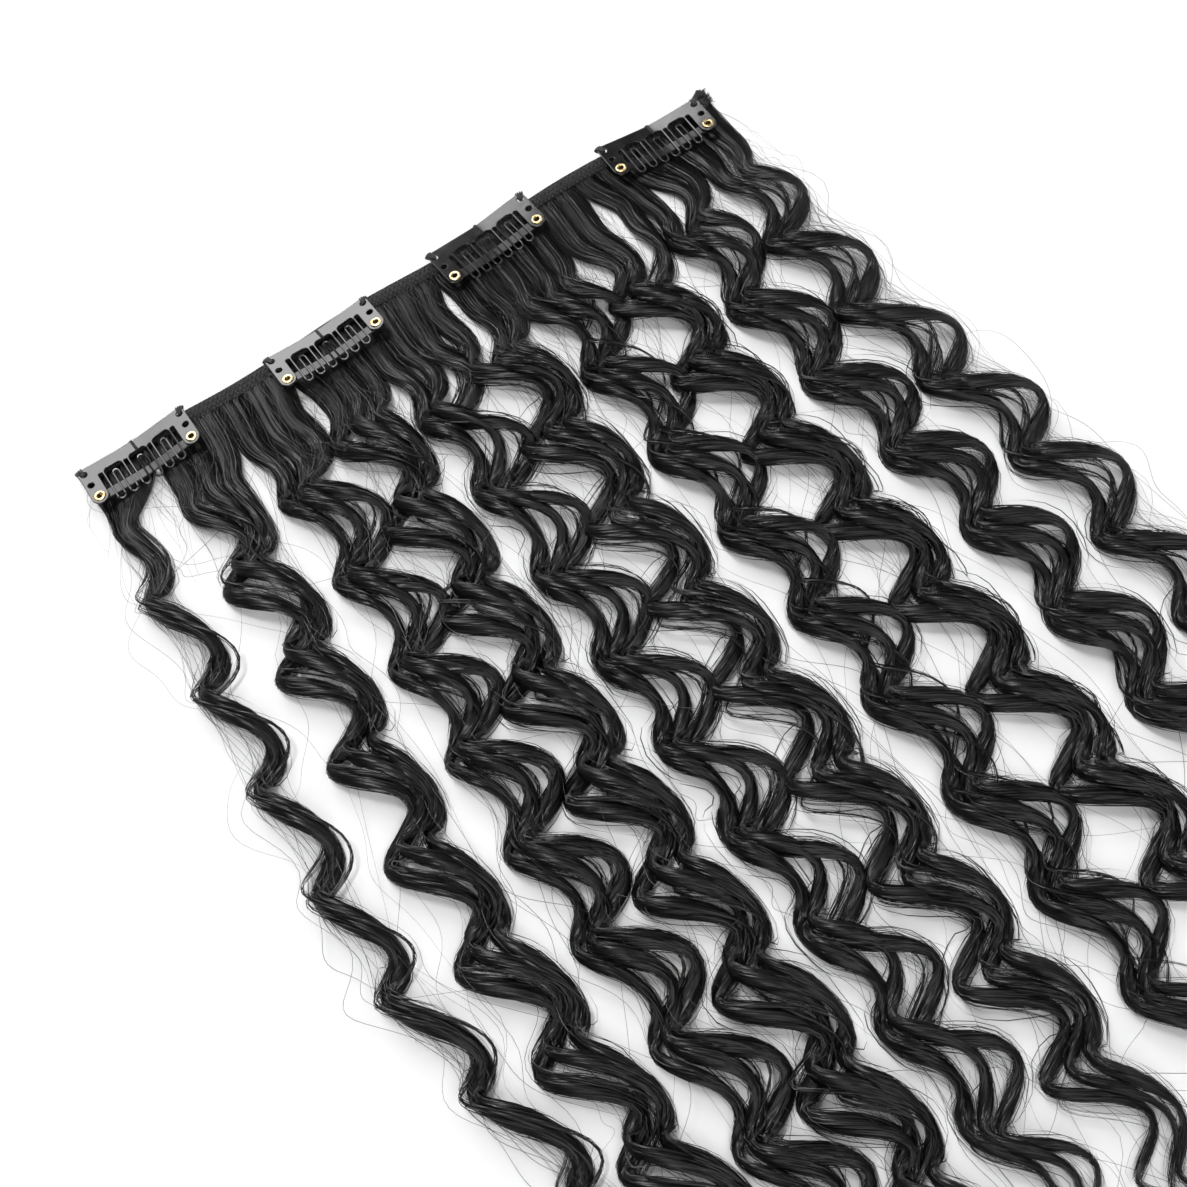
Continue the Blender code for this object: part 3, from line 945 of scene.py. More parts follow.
@dataclass(frozen=True)
class CrossingHairs:
    """Short single hairs that lie aslant over the smooth hair just under the band."""

    count: int = 460
    steps: int = 12
    lengths: Span = (12.0, 44.0)
    heading: float = 0.27
    reach: float = 100.0
    bow: float = 2.2
    sway: float = 0.8
    under_band: float = 0.3
    height: float = 1.95
    height_range: float = 0.25
    climb: float = 1.3
    climb_span: Span = (-15.0, -34.0)
    x_limits: Span = (-106.0, 112.0)
    halves: Span = (0.03, 0.05)
    end_loss: float = 0.5

    def lay(self, draft: Draft, curl: Curl, rng: np.random.Generator) -> None:
        """Lay the hairs.

        Args:
            draft: The piece that they go into.
            curl: How the locks run.
            rng: Source of the random numbers.
        """
        each = (self.count, 1)
        steps = np.linspace(0.0, 1.0, self.steps)[None, :]
        length = rng.uniform(*self.lengths, each)
        heading = rng.normal(0.0, self.heading, each)
        swell = np.sin(math.pi * steps)
        path = np.zeros((self.count, self.steps, 3))
        path[..., 0] = rng.uniform(-self.reach, self.reach, each) + steps * length * np.sin(heading)
        bowed = rng.normal(0.0, self.bow, each) * swell
        path[..., 0] += bowed + rng.normal(0.0, self.sway, each) * np.sin(TAU * steps)
        path[..., 1] = -curl.band_half + self.under_band - steps * length * np.cos(heading)
        height = self.height + rng.uniform(0.0, self.height_range, each)
        path[..., 2] = height + self.climb * span_share(path[..., 1], self.climb_span)
        path[..., 0] = np.clip(path[..., 0], *self.x_limits)
        half = rng.uniform(*self.halves, each) * (1 - self.end_loss * steps)
        draft.ribbons(path, np.broadcast_to(UP, path.shape), half, rng.uniform(0.0, TONES, self.count))


@dataclass
class Hair:
    """The curled hair: flat coiled ribbons of strands, thin wisps between them and loose single hairs."""

    finish: HairFinish = HairFinish()
    core_finish: HairFinish = HairFinish(
        "black_hair_inside", (0.0015, 0.0015, 0.0015), (0.006, 0.0057, 0.0057), 0.45, 0.65, 0.8
    )
    curl: Curl = Curl()
    strands: Strands = Strands()
    short_strands: Strands = Strands(half=0.07, steps=14, own_lengths=(16.0, 48.0), underside=0.1)
    loose_hairs: LooseHairs = LooseHairs()
    crossing_hairs: CrossingHairs = CrossingHairs()
    lock_pitch: float = 20.8
    band_half_length: float = 101.6
    strand_count: int = 74
    strand_looseness: float = 0.12
    short_count: int = 132
    short_looseness: float = 0.3
    ribbon_half: float = 2.25
    ribbon_widths: Span = (0.75, 1.15)
    single_width: float = 1.6
    ribbon_thick: float = 0.85
    ribbon_thicks: Span = (0.9, 1.15)
    ribbon_phase: float = 0.34
    ribbon_swings: Span = (0.9, 1.12)
    ribbon_layer: float = 0.9
    ribbon_reach: Span = (0.93, 1.0)
    ribbon_drift: Drift = (0.26, (70.0, 190.0))
    single_drift: Drift = (0.08, (70.0, 190.0))
    wisps_per_lock: int = 4
    wisp_strands: int = 9
    wisp_looseness: float = 0.2
    wisp_place: float = 1.35
    wisp_root_share: float = 0.35
    wisp_root_half: float = 1.2
    wisp_halves: Span = (0.35, 0.8)
    wisp_thick: float = 0.3
    wisp_phase: float = 0.6
    wisp_swings: Span = (0.7, 1.35)
    wisp_layers: Span = (0.2, 1.6)
    wisp_reach: Span = (0.8, 1.0)
    wisp_drift: Drift = (0.4, (60.0, 160.0))
    core_steps: int = 150
    core_sides: int = 8
    core_start: float = -1.6
    core_end: float = 0.93
    core_width: float = 0.93
    core_root_width: float = 0.15
    core_thick: float = 0.84
    core_root_thick: float = 0.14
    core_root_span: Span = (6.0, 30.0)
    core_tip_loss: float = 0.8
    core_tip_span: Span = (0.9, 1.0)
    core_band_y: float = -9.0
    seed: int = 11

    def __post_init__(self) -> None:
        """Start the random numbers, those of the short strands apart."""
        self.rng = np.random.default_rng(self.seed)
        self.short_rng = np.random.default_rng(self.seed + 1)

    def ribbons_of(self, lock: Lock) -> list[Ribbon]:
        """Share a lock out into its ribbons, side by side and nearly in step.

        Args:
            lock: The lock.

        Returns:
            Its ribbons, left to right.
        """
        found = []
        single = lock.ribbons == 1
        share = self.lock_pitch / lock.ribbons
        for number in range(lock.ribbons):
            place = 0.0 if single else 2 * number / (lock.ribbons - 1) - 1
            root_x = lock.root_x + (number - (lock.ribbons - 1) / 2) * share
            found.append(
                Ribbon(
                    lock=lock,
                    place=place,
                    root_x=root_x,
                    root_half=min(share / 2, self.band_half_length - abs(root_x)),
                    half_width=self.ribbon_half
                    * self.rng.uniform(*self.ribbon_widths)
                    * (self.single_width if single else 1.0),
                    half_thick=self.ribbon_thick * self.rng.uniform(*self.ribbon_thicks),
                    phase_shift=self.rng.normal(0.0, self.ribbon_phase) * (0 if single else 1),
                    swing_share=self.rng.uniform(*self.ribbon_swings),
                    layer=self.ribbon_layer * (number % 2),
                    reach=self.rng.uniform(*self.ribbon_reach),
                    drift=Wander.drawn(self.rng, 1, *(self.single_drift if single else self.ribbon_drift)),
                )
            )
        return found

    def wisps_of(self, lock: Lock) -> list[Ribbon]:
        """Make a lock's thin wisps, which stray from it and run out of step with it.

        Args:
            lock: The lock.

        Returns:
            Its wisps.
        """
        found = []
        for _ in range(self.wisps_per_lock):
            place = self.rng.uniform(-self.wisp_place, self.wisp_place)
            found.append(
                Ribbon(
                    lock=lock,
                    place=place,
                    root_x=lock.root_x + place * self.lock_pitch * self.wisp_root_share,
                    root_half=self.wisp_root_half,
                    half_width=self.rng.uniform(*self.wisp_halves),
                    half_thick=self.wisp_thick,
                    phase_shift=self.rng.normal(0.0, self.wisp_phase),
                    swing_share=self.rng.uniform(*self.wisp_swings),
                    layer=self.rng.uniform(*self.wisp_layers),
                    reach=self.rng.uniform(*self.wisp_reach),
                    drift=Wander.drawn(self.rng, 1, *self.wisp_drift),
                )
            )
        return found

    def inside(self, draft: Draft, ribbon: Ribbon) -> None:
        """Fill a ribbon with a closed body just under its strands.

        Args:
            draft: The piece that it goes into.
            ribbon: The ribbon.
        """
        reach = self.curl.reach(ribbon) * self.core_end
        run = np.linspace(self.core_start, reach, self.core_steps)[None, :]
        course = self.curl.course(ribbon, run)
        end = 1 - self.core_tip_loss * span_share(run / reach, self.core_tip_span)
        root = 1 - span_share(run, self.core_root_span)
        width = course.half_width * (self.core_width + self.core_root_width * root) * end
        thick = course.half_thick * (self.core_thick - self.core_root_thick * root) * end
        draft.tubes(course.centre, course.across, course.outward, width, thick, self.core_sides)
        points = draft.points[-1]
        points[:, 2] = np.maximum(points[:, 2], self.curl.floor)
        at_band = points[:, 1] > self.core_band_y
        points[at_band, 0] = np.clip(points[at_band, 0], -self.band_half_length, self.band_half_length)

    def build(self) -> list[bpy.types.Object]:
        """Make all the hair's pieces and ride them on the weft.

        Returns:
            The pieces.
        """
        strand_material = self.finish.material()
        curl = self.curl
        core = Draft()
        wisp_draft = Draft()
        pieces = []
        everything: list[Ribbon] = []
        outer: list[Ribbon] = []
        for number, lock in enumerate(LOCKS):
            ribbons = self.ribbons_of(lock)
            draft = Draft()
            for ribbon in ribbons:
                self.inside(core, ribbon)
                self.strands.lay(draft, curl, ribbon, self.strand_count, self.strand_looseness, self.rng)
                short = self.short_count // lock.ribbons
                self.short_strands.lay(draft, curl, ribbon, short, self.short_looseness, self.short_rng)
            for wisp in self.wisps_of(lock):
                self.strands.lay(wisp_draft, curl, wisp, self.wisp_strands, self.wisp_looseness, self.rng)
            everything += ribbons
            if number in (0, len(LOCKS) - 1):
                outer += ribbons
            pieces.append(draft.piece(f"hair_lock_{number + 1:02d}", strand_material, Slot.HAIR))
        pieces.append(wisp_draft.piece("hair_wisps", strand_material, Slot.HAIR))
        loose = Draft()
        self.loose_hairs.lay(loose, curl, everything, outer, self.rng)
        self.crossing_hairs.lay(loose, curl, self.rng)
        pieces.append(loose.piece("hair_loose", strand_material, Slot.HAIR))
        inside = core.piece("hair_inside", self.core_finish.material(), Slot.HAIR)
        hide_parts("hair")
        pieces.append(inside)
        for piece in pieces:
            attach(piece, ROOT_BODY)
            report(piece)
        return pieces


# Sewn band


@dataclass
class Band:
    """The sewn band: a wavy strip of bound hair, a rope along its top edge and rows of ladder stitches."""

    ground: BandFinish = BandFinish()
    thread: ThreadFinish = ThreadFinish(light=(0.050, 0.048, 0.047))
    length: float = 204.0
    width: float = 4.4
    thickness: float = 2.2
    wave: float = 0.7
    waves: int = 3
    stitch_pitch: float = 1.35
    stitch_rows: tuple[float, ...] = (0.86, -0.42, -1.62)
    stitch_reach: float = 0.55
    stitch_radius: float = 0.27
    stitch_inset: float = 1.5
    stitch_rise: float = 0.13
    stitch_bow: float = 0.2
    stitch_taper: float = 0.35
    stitch_uneven: Place = (0.05, 0.04, 0.03)
    row_shift: float = 0.3
    rope_radius: float = 0.27
    rope_pitch: float = 1.5
    rope_inset: float = 0.42
    rope_sway: float = 0.17
    rope_height: float = 1.45
    rope_rise: float = 0.24
    inset: float = 0.15
    crown_inset: float = 0.12
    end_round: float = 1.2
    end_thinnest: float = 0.12
    slant: float = 0.16
    cord_places: Span = (0.22, -1.04)
    cord_radius: float = 0.13
    cord_inset: float = 0.5
    cord_steps: int = 420
    cord_drift: Drift = (0.05, (1.7, 5.0))
    rope_end: float = 0.3
    rope_steps: int = 1100
    body_steps: int = 260
    edge_drift: Drift = (0.06, (2.5, 9.0))
    frays: tuple[tuple[Side, int, float], ...] = ((Side.RIGHT, 120, 2.0), (Side.LEFT, 24, 1.2))
    fray_start: float = 0.7
    fray_places: Span = (-1.5, 3.0)
    fray_height: float = 1.5
    fray_swing: float = 0.6
    fray_sizes: Span = (0.3, 1.0)
    fray_bend: float = 0.4
    fray_lift: float = 0.25
    fray_layers: Span = (-0.8, 0.7)
    fray_rises: Span = (-0.4, 0.7)
    fray_radii: Span = (0.04, 0.09)
    fold_threads: int = 60
    fold_foot: Place = (5.9, 1.2, 1.7)
    fold_peak: Place = (1.9, 3.5, 2.3)
    fold_bow: float = 0.35
    fold_radii: Span = (0.11, 0.19)
    seed: int = 5

    def __post_init__(self) -> None:
        """Start the random numbers."""
        self.rng = np.random.default_rng(self.seed)

    def middle(self, x: Array) -> Array:
        """Give Y of the band's middle line at x."""
        return self.wave * np.sin(TAU * self.waves * (x / self.length + 0.5))

    def body(self, draft: Draft) -> None:
        """Make the strip: a flattened tube with slightly uneven edges.

        Args:
            draft: The piece that it goes into.
        """
        x = np.linspace(-self.length / 2, self.length / 2, self.body_steps)
        uneven = Wander.drawn(self.rng, 1, *self.edge_drift).at(x[None, :])
        y = self.middle(x) + uneven[0]
        path = np.stack([x, y, np.full_like(x, self.thickness / 2)], axis=-1)[None]
        along = unit(np.gradient(path, axis=1))
        upward = np.broadcast_to(UP, path.shape)
        end = np.clip((self.length / 2 - np.abs(x)) / self.end_round, self.end_thinnest, 1.0) ** 0.5
        width = (self.width / 2 - self.inset) * end[None]
        height = (self.thickness / 2 - self.crown_inset) * end[None]
        draft.tubes(path, np.cross(upward, along), upward, width, height, 16)

    def ladder(self, draft: Draft) -> None:
        """Make the rows of short stitches across the band, each a small bow of thread.

        Args:
            draft: The piece that they go into.
        """
        steps = np.linspace(-1.0, 1.0, 5)
        end = self.length / 2 - self.stitch_inset
        uneven_x, uneven_slant, uneven_height = self.stitch_uneven
        for row, place in enumerate(self.stitch_rows):
            x = np.arange(-end, end, self.stitch_pitch) + self.row_shift * (row % 2)
            x = x + self.rng.normal(0.0, uneven_x, x.shape)
            slant = self.slant + self.rng.normal(0.0, uneven_slant, x.shape)
            height = self.crown(place) + self.rng.normal(0.0, uneven_height, x.shape)
            path = np.zeros((len(x), len(steps), 3))
            path[..., 0] = x[:, None] + slant[:, None] * steps
            path[..., 1] = self.middle(x)[:, None] + place + self.stitch_reach * steps
            path[..., 2] = height[:, None] + self.stitch_rise - self.stitch_bow * steps**4
            upward = np.broadcast_to(UP, path.shape)
            along = unit(np.gradient(path, axis=1))
            radius = self.stitch_radius * (1 - self.stitch_taper * steps**4) * np.ones((len(x), 1))
            draft.tubes(path, unit(np.cross(upward, along)), upward, radius, radius, 6)

    def crown(self, place: float) -> float:
        """Give the height of the band's upper side at a place across it."""
        inner = 1 - (place / (self.width / 2 - self.inset)) ** 2
        return self.thickness / 2 + (self.thickness / 2 - self.crown_inset) * math.sqrt(max(inner, 0.0))

    def cords(self, draft: Draft) -> None:
        """Make the lengthwise threads between the rows and the two-strand rope along the top edge.

        Args:
            draft: The piece that they go into.
        """
        end = self.length / 2 - self.cord_inset
        x = np.linspace(-end, end, self.cord_steps)
        for place in self.cord_places:
            wobble = Wander.drawn(self.rng, 1, *self.cord_drift).at(x[None, :])[0]
            height = np.full_like(x, self.crown(place) + 0.05)
            path = np.stack([x, self.middle(x) + place + wobble, height], axis=-1)
            self.along_tube(draft, path, self.cord_radius, 5)
        end = self.length / 2 - self.rope_end
        x = np.linspace(-end, end, self.rope_steps)
        for turn in (0.0, math.pi):
            angle = TAU * x / self.rope_pitch + turn
            y = self.middle(x) + self.width / 2 - self.rope_inset + self.rope_sway * np.cos(angle)
            z = self.rope_height + self.rope_rise * np.sin(angle)
            self.along_tube(draft, np.stack([x, y, z], axis=-1), self.rope_radius * 0.8, 6)

    def along_tube(self, draft: Draft, path: Array, radius: float, sides: int) -> None:
        """Add a round thread along one path.

        Args:
            draft: The piece that it goes into.
            path: Its points.
            radius: Its radius.
            sides: Number of sides.
        """
        path = path[None]
        along = unit(np.gradient(path, axis=1))
        across = unit(np.cross(np.broadcast_to(UP, path.shape), along))
        upward = np.cross(along, across)
        size = np.full(path.shape[:2], radius)
        draft.tubes(path, across, upward, size, size, sides)

    def frayed_ends(self, draft: Draft) -> None:
        """Make the short cut fibres at both ends of the band.

        Args:
            draft: The piece that they go into.
        """
        steps = np.linspace(0.0, 1.0, 6)
        for side, count, reach in self.frays:
            for _ in range(count):
                place = self.rng.uniform(*self.fray_places)
                start = np.array([side.value * (self.length / 2 - self.fray_start), place, self.fray_height])
                swing = self.rng.normal(0.0, self.fray_swing)
                size = reach * self.rng.uniform(*self.fray_sizes)
                bend = self.rng.normal(0.0, self.fray_bend)
                path = np.zeros((len(steps), 3))
                path[:, 0] = start[0] + side.value * size * np.cos(swing) * steps
                path[:, 1] = start[1] + size * (np.sin(swing) + self.fray_lift) * steps + bend * steps**2
                path[:, 2] = start[2] + self.rng.uniform(*self.fray_layers)
                path[:, 2] += self.rng.uniform(*self.fray_rises) * steps
                self.along_tube(draft, path, self.rng.uniform(*self.fray_radii), 4)

    def folded_corner(self, draft: Draft) -> None:
        """Fan threads from the band's top edge up to the corner that its right end is folded to.

        Args:
            draft: The piece that they go into.
        """
        steps = np.linspace(0.0, 1.0, 6)[:, None]
        end = self.length / 2
        foot_x, foot_y, foot_z = self.fold_foot
        peak_x, peak_y, peak_z = self.fold_peak
        for share in np.linspace(0.0, 1.0, self.fold_threads):
            foot = np.array([end - foot_x * (1 - share), foot_y + 0.3 * share, foot_z])
            peak = np.array([end - peak_x + 0.9 * share, peak_y - 0.4 * share, peak_z])
            foot = foot + self.rng.normal(0.0, 0.12, 3)
            path = mixed(foot, peak + self.rng.normal(0.0, 0.16, 3), steps)
            path[:, 2] += (self.fold_bow * np.sin(math.pi * steps))[:, 0]
            self.along_tube(draft, path, self.rng.uniform(*self.fold_radii), 5)

    def build(self) -> list[bpy.types.Object]:
        """Make the band's pieces and ride them on the weft.

        Returns:
            The pieces.
        """
        body = Draft()
        self.body(body)
        strip = body.piece("band_strip", self.ground.material(), Slot.WEFT)
        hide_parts("weft_band")
        stitches = Draft()
        self.ladder(stitches)
        self.cords(stitches)
        self.frayed_ends(stitches)
        self.folded_corner(stitches)
        sewing = stitches.piece("band_stitches", self.thread.material(), Slot.WEFT)
        for piece in (strip, sewing):
            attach(piece, ROOT_BODY)
            report(piece)
        return [strip, sewing]


def add_loop(draft: Draft, path: Array, radius: float, sides: int) -> None:
    """Add a round thread along one closed path.

    Args:
        draft: The piece that it goes into.
        path: Its points, the first not repeated.
        radius: Its radius.
        sides: Number of sides.
    """
    path = path[None]
    along = unit(np.roll(path, -1, axis=1) - np.roll(path, 1, axis=1))
    middle = path.mean(axis=1, keepdims=True)
    upward = unit(path - middle)
    upward = unit(upward - (upward * along).sum(axis=-1, keepdims=True) * along)
    across = np.cross(upward, along)
    size = np.full(path.shape[:2], radius)
    draft.loops(path, across, upward, size, size, sides)


# Snap clips


@dataclass(frozen=True)
class Seat:
    """Where a clip sits: middle of its eyelet line, turn about Z and lift of its eyelet side."""

    name: str
    x: float
    y: float
    turn: float
    tilt: float


SEATS = (
    Seat("clip_1", -85.2, -9.0, 1.8, 10.0),
    Seat("clip_2", -27.9, -9.4, 1.4, 15.0),
    Seat("clip_3", 25.3, -7.6, 3.4, 6.0),
    Seat("clip_4", 80.8, -8.8, -4.8, 11.5),
)


@dataclass
class SnapClip:
    """A snap clip: a pressed plate whose teeth swing, a snap strip, two eyelets and its sewing thread."""

    enamel: bpy.types.Material
    dull_enamel: bpy.types.Material
    brass: bpy.types.Material
    thread: bpy.types.Material
    sheet: float = 0.5
    edge: float = 0.21
    eyelet_x: float = 14.0
    half_length: float = 16.3
    arm_inner: float = 11.6
    arm_end: float = -2.35
    spine_y: float = 11.0
    spine_corner: float = 1.8
    seam_y: float = 8.35
    rivet_hole: float = 1.15
    hole_radius: float = 0.88
    holes: tuple[Span, ...] = ((14.5, 4.6), (14.7, 8.9))
    dish: float = 1.2
    crease: float = 2.0
    tooth_pitch: float = 3.64
    tooth_width: float = 2.6
    wire: float = 0.56
    tooth_tip: float = -4.3
    bridge_top: float = 5.9
    opening_top: float = 7.4
    opening_corner: float = 1.25
    slot_top: float = 6.8
    slot_corner: float = 0.5
    bar_half: float = 1.5
    fit_gap: float = 0.3
    clip_gap: float = 0.15
    band_thickness: float = 2.2
    slice: float = 0.8
    tooth_dip: float = 0.4
    dip_down: Span = (6.6, 4.4)
    dip_up: Span = (1.6, 3.6)
    tip_dip: float = 0.8
    tip_down: Span = (-1.9, -4.2)
    side_weight: float = 0.001
    blend_run: float = 2.6
    rivet_sides: int = 36
    rim_reach: float = 1.6
    rim_round: float = 0.34
    rim_rise: float = 0.26
    lip_reach: float = 0.98
    lip_round: float = 0.22
    lip_drop: float = 0.3
    corner_turns: tuple[Span, ...] = ((0.1, 0.55), (0.75, 0.5), (1.35, 0.25), (1.85, -0.15))
    corner_step: Span = (0.13, 0.07)
    corner_rise: float = 0.5
    corner_thread: float = 0.24
    middle_turns: Span = (0.0, 0.42)
    middle_rise: float = 0.42
    middle_thread: float = 0.22

    def lift(self, x: float) -> float:
        """Give how far the sprung sheet rises at x, creased at its middle and nearly straight beside it."""
        crease = self.crease
        return self.dish * (math.hypot(x, crease) - crease) / (math.hypot(self.half_length, crease) - crease)

    def seat_matrix(self, seat: Seat) -> Matrix:
        """Give the matrix from a clip's own millimetres to the weft's metres.

        Args:
            seat: Where the clip sits.

        Returns:
            The matrix.
        """
        tilt = math.radians(seat.tilt)
        drop = self.spine_y * math.sin(tilt) + self.sheet / 2 * math.cos(tilt)
        place = Vector((seat.x, seat.y, self.band_thickness + self.fit_gap + drop)) * MM
        turned = Matrix.Rotation(math.radians(seat.turn), 4, "Z") @ Matrix.Rotation(-tilt, 4, "X")
        return Matrix.Translation(place) @ turned @ Matrix.Scale(MM, 4)

    def plate_outlines(self) -> list[Outline]:
        """Draw the whole plate, spine, arms and teeth in one, then its holes and openings between wires.

        Returns:
            The outer outline, then the holes and the openings.
        """
        tip = self.tooth_width / 2
        bridge = self.tooth_pitch / 2 - tip + self.wire
        arm_radius = (self.half_length - self.arm_inner) / 2
        arm_middle = (self.half_length + self.arm_inner) / 2
        outer = arc((-arm_middle, self.arm_end + arm_radius), arm_radius, 180, 360, 16)
        openings = []
        for group in (-1, 0, 1):
            middle = group * 2 * self.tooth_pitch
            left, right = middle - self.tooth_pitch / 2, middle + self.tooth_pitch / 2
            outer += self.slot_end(outer[-1][0], left - tip)
            outer += arc((left, self.tooth_tip + tip), tip, 180, 360, 16)
            outer += arc((middle, self.bridge_top - bridge), bridge - self.wire, 180, 0, 8)
            outer += arc((right, self.tooth_tip + tip), tip, 180, 360, 16)
            inner = tip - self.wire
            opening = arc((left, self.tooth_tip + tip), inner, 180, 360, 12)
            opening += arc((middle, self.bridge_top - bridge), bridge, 180, 0, 14)
            opening += arc((right, self.tooth_tip + tip), inner, 180, 360, 12)
            shoulder = self.opening_corner
            opening += arc((right + inner - shoulder, self.opening_top - shoulder), shoulder, 0, 90, 8)
            opening += arc((left - inner + shoulder, self.opening_top - shoulder), shoulder, 90, 180, 8)
            openings.append(opening)
        outer += self.slot_end(outer[-1][0], self.arm_inner)
        outer += arc((arm_middle, self.arm_end + arm_radius), arm_radius, 180, 360, 16)
        corner = self.half_length - self.spine_corner
        outer += arc((corner, self.spine_y - self.spine_corner), self.spine_corner, 0, 90, 9)
        outer += arc((-corner, self.spine_y - self.spine_corner), self.spine_corner, 90, 180, 9)
        holes = [circle((side.value * x, y), self.hole_radius, 24) for side in Side for x, y in self.holes]
        return [outer] + self.rivet_holes() + holes + openings

    def rivet_holes(self) -> list[Outline]:
        """Draw the two holes that the eyelets go through."""
        return [circle((side.value * self.eyelet_x, 0.0), self.rivet_hole, 24) for side in Side]

    def slot_end(self, left: float, right: float) -> Outline:
        """Draw the closed upper end of a slot from its left side to its right one, with rounded corners.

        Args:
            left: X of its left side.
            right: X of its right side.

        Returns:
            The points, left to right.
        """
        radius = min(self.slot_corner, abs(right - left) / 2 - 0.01)
        points = arc((left + radius, self.slot_top - radius), radius, 180, 90, 5)
        return points + arc((right - radius, self.slot_top - radius), radius, 90, 0, 5)

    def bar_outlines(self) -> list[Outline]:
        """Draw the snap strip with its round ends and its two holes.

        Returns:
            The outer outline, then the holes.
        """
        outer = arc((-self.eyelet_x, 0.0), self.bar_half, 90, 270, 14)
        outer += arc((self.eyelet_x, 0.0), self.bar_half, -90, 90, 14)
        return [outer] + self.rivet_holes()

    def pressed(self, outlines: list[Outline]) -> bmesh.types.BMesh:
        """Press a flat sheet with soft edges from outlines, sliced across so that it can bend.

        Args:
            outlines: The outer outline, then the holes.

        Returns:
            The sheet, still flat.
        """
        curve = bpy.data.curves.new("pressing", "CURVE")
        curve.dimensions = "2D"
        curve.fill_mode = "BOTH"
        curve.bevel_depth = self.edge
        curve.bevel_resolution = 1
        curve.extrude = self.sheet / 2 - self.edge
        curve.offset = -self.edge
        for outline in outlines:
            spline = curve.splines.new("POLY")
            spline.points.add(len(outline) - 1)
            spline.points.foreach_set("co", [value for x, y in outline for value in (x, y, 0.0, 1.0)])
            spline.use_cyclic_u = True
        holder = bpy.data.objects.new("pressing", curve)
        bpy.context.scene.collection.objects.link(holder)
        mesh = bpy.data.meshes.new_from_object(holder.evaluated_get(bpy.context.evaluated_depsgraph_get()))
        sheet = bmesh.new()
        sheet.from_mesh(mesh)
        bpy.data.objects.remove(holder, do_unlink=True)
        bpy.data.curves.remove(curve)
        bpy.data.meshes.remove(mesh)
        bmesh.ops.remove_doubles(sheet, verts=sheet.verts, dist=0.002)
        cuts = int(self.half_length / self.slice)
        for step in range(-cuts, cuts + 1):
            self.cut(sheet, (step * self.slice, 0.0), (1, 0))
        return sheet

    @staticmethod
    def cut(sheet: bmesh.types.BMesh, place: Span, facing: Span) -> None:
        """Cut a sheet's faces along an upright plane.

        Args:
            sheet: The sheet, which is changed.
            place: A point on the plane.
            facing: Direction that the plane faces.
        """
        everything = sheet.verts[:] + sheet.edges[:] + sheet.faces[:]
        plane = {"plane_co": (*place, 0), "plane_no": (*facing, 0)}
        bmesh.ops.bisect_plane(sheet, geom=everything, dist=0.0005, **plane)

    def bent(self, sheet: bmesh.types.BMesh, lower: float, dips: bool) -> bpy.types.Mesh:
        """Bend a sheet along the clip's dish and make it a mesh.

        Args:
            sheet: The flat sheet, which is used up.
            lower: How far it lies under the plate.
            dips: Whether its teeth bow down between the spine and the strip.

        Returns:
            The mesh, in the clip's own millimetres.
        """
        sheet.normal_update()
        weights = [1.0 if abs(face.normal.z) > 0.99 else self.side_weight for face in sheet.faces]
        for vertex in sheet.verts:
            x, y = vertex.co.x, vertex.co.y
            vertex.co.z += self.lift(x) - lower
            if dips and abs(x) < self.arm_inner - 0.1 and y < self.slot_top:
                bow = span_share(y, self.dip_down) * span_share(y, self.dip_up)
                vertex.co.z -= self.tooth_dip * float(bow + self.tip_dip * span_share(y, self.tip_down))
        bmesh.ops.recalc_face_normals(sheet, faces=sheet.faces)
        mesh = bpy.data.meshes.new("pressed")
        sheet.to_mesh(mesh)
        sheet.free()
        mesh.shade_smooth()
        facing = np.zeros((len(mesh.vertices), 3))
        for face, weight in zip(mesh.polygons, weights):
            facing[list(face.vertices)] += np.array(face.normal) * face.area * weight
        mesh.normals_split_custom_set_from_vertices(unit(facing))
        return mesh

    def plate_meshes(self) -> tuple[bpy.types.Mesh, bpy.types.Mesh]:
        """Press the plate and part it at the seam that its teeth swing on.

        Returns:
            The fixed plate and the teeth.
        """
        whole = self.pressed(self.plate_outlines())
        edge = self.arm_inner - 0.04
        self.cut(whole, (0.0, self.seam_y), (0, 1))
        for side in Side:
            self.cut(whole, (side.value * edge, 0.0), (1, 0))
        halves = []
        for wants_teeth in (False, True):
            half = whole.copy()
            wrong = []
            for face in half.faces:
                middle = face.calc_center_median()
                is_teeth = middle.y < self.seam_y and abs(middle.x) < edge
                if is_teeth != wants_teeth:
                    wrong.append(face)
            bmesh.ops.delete(half, geom=wrong, context="FACES")
            halves.append(self.bent(half, 0.0, wants_teeth))
        whole.free()
        return halves[0], halves[1]

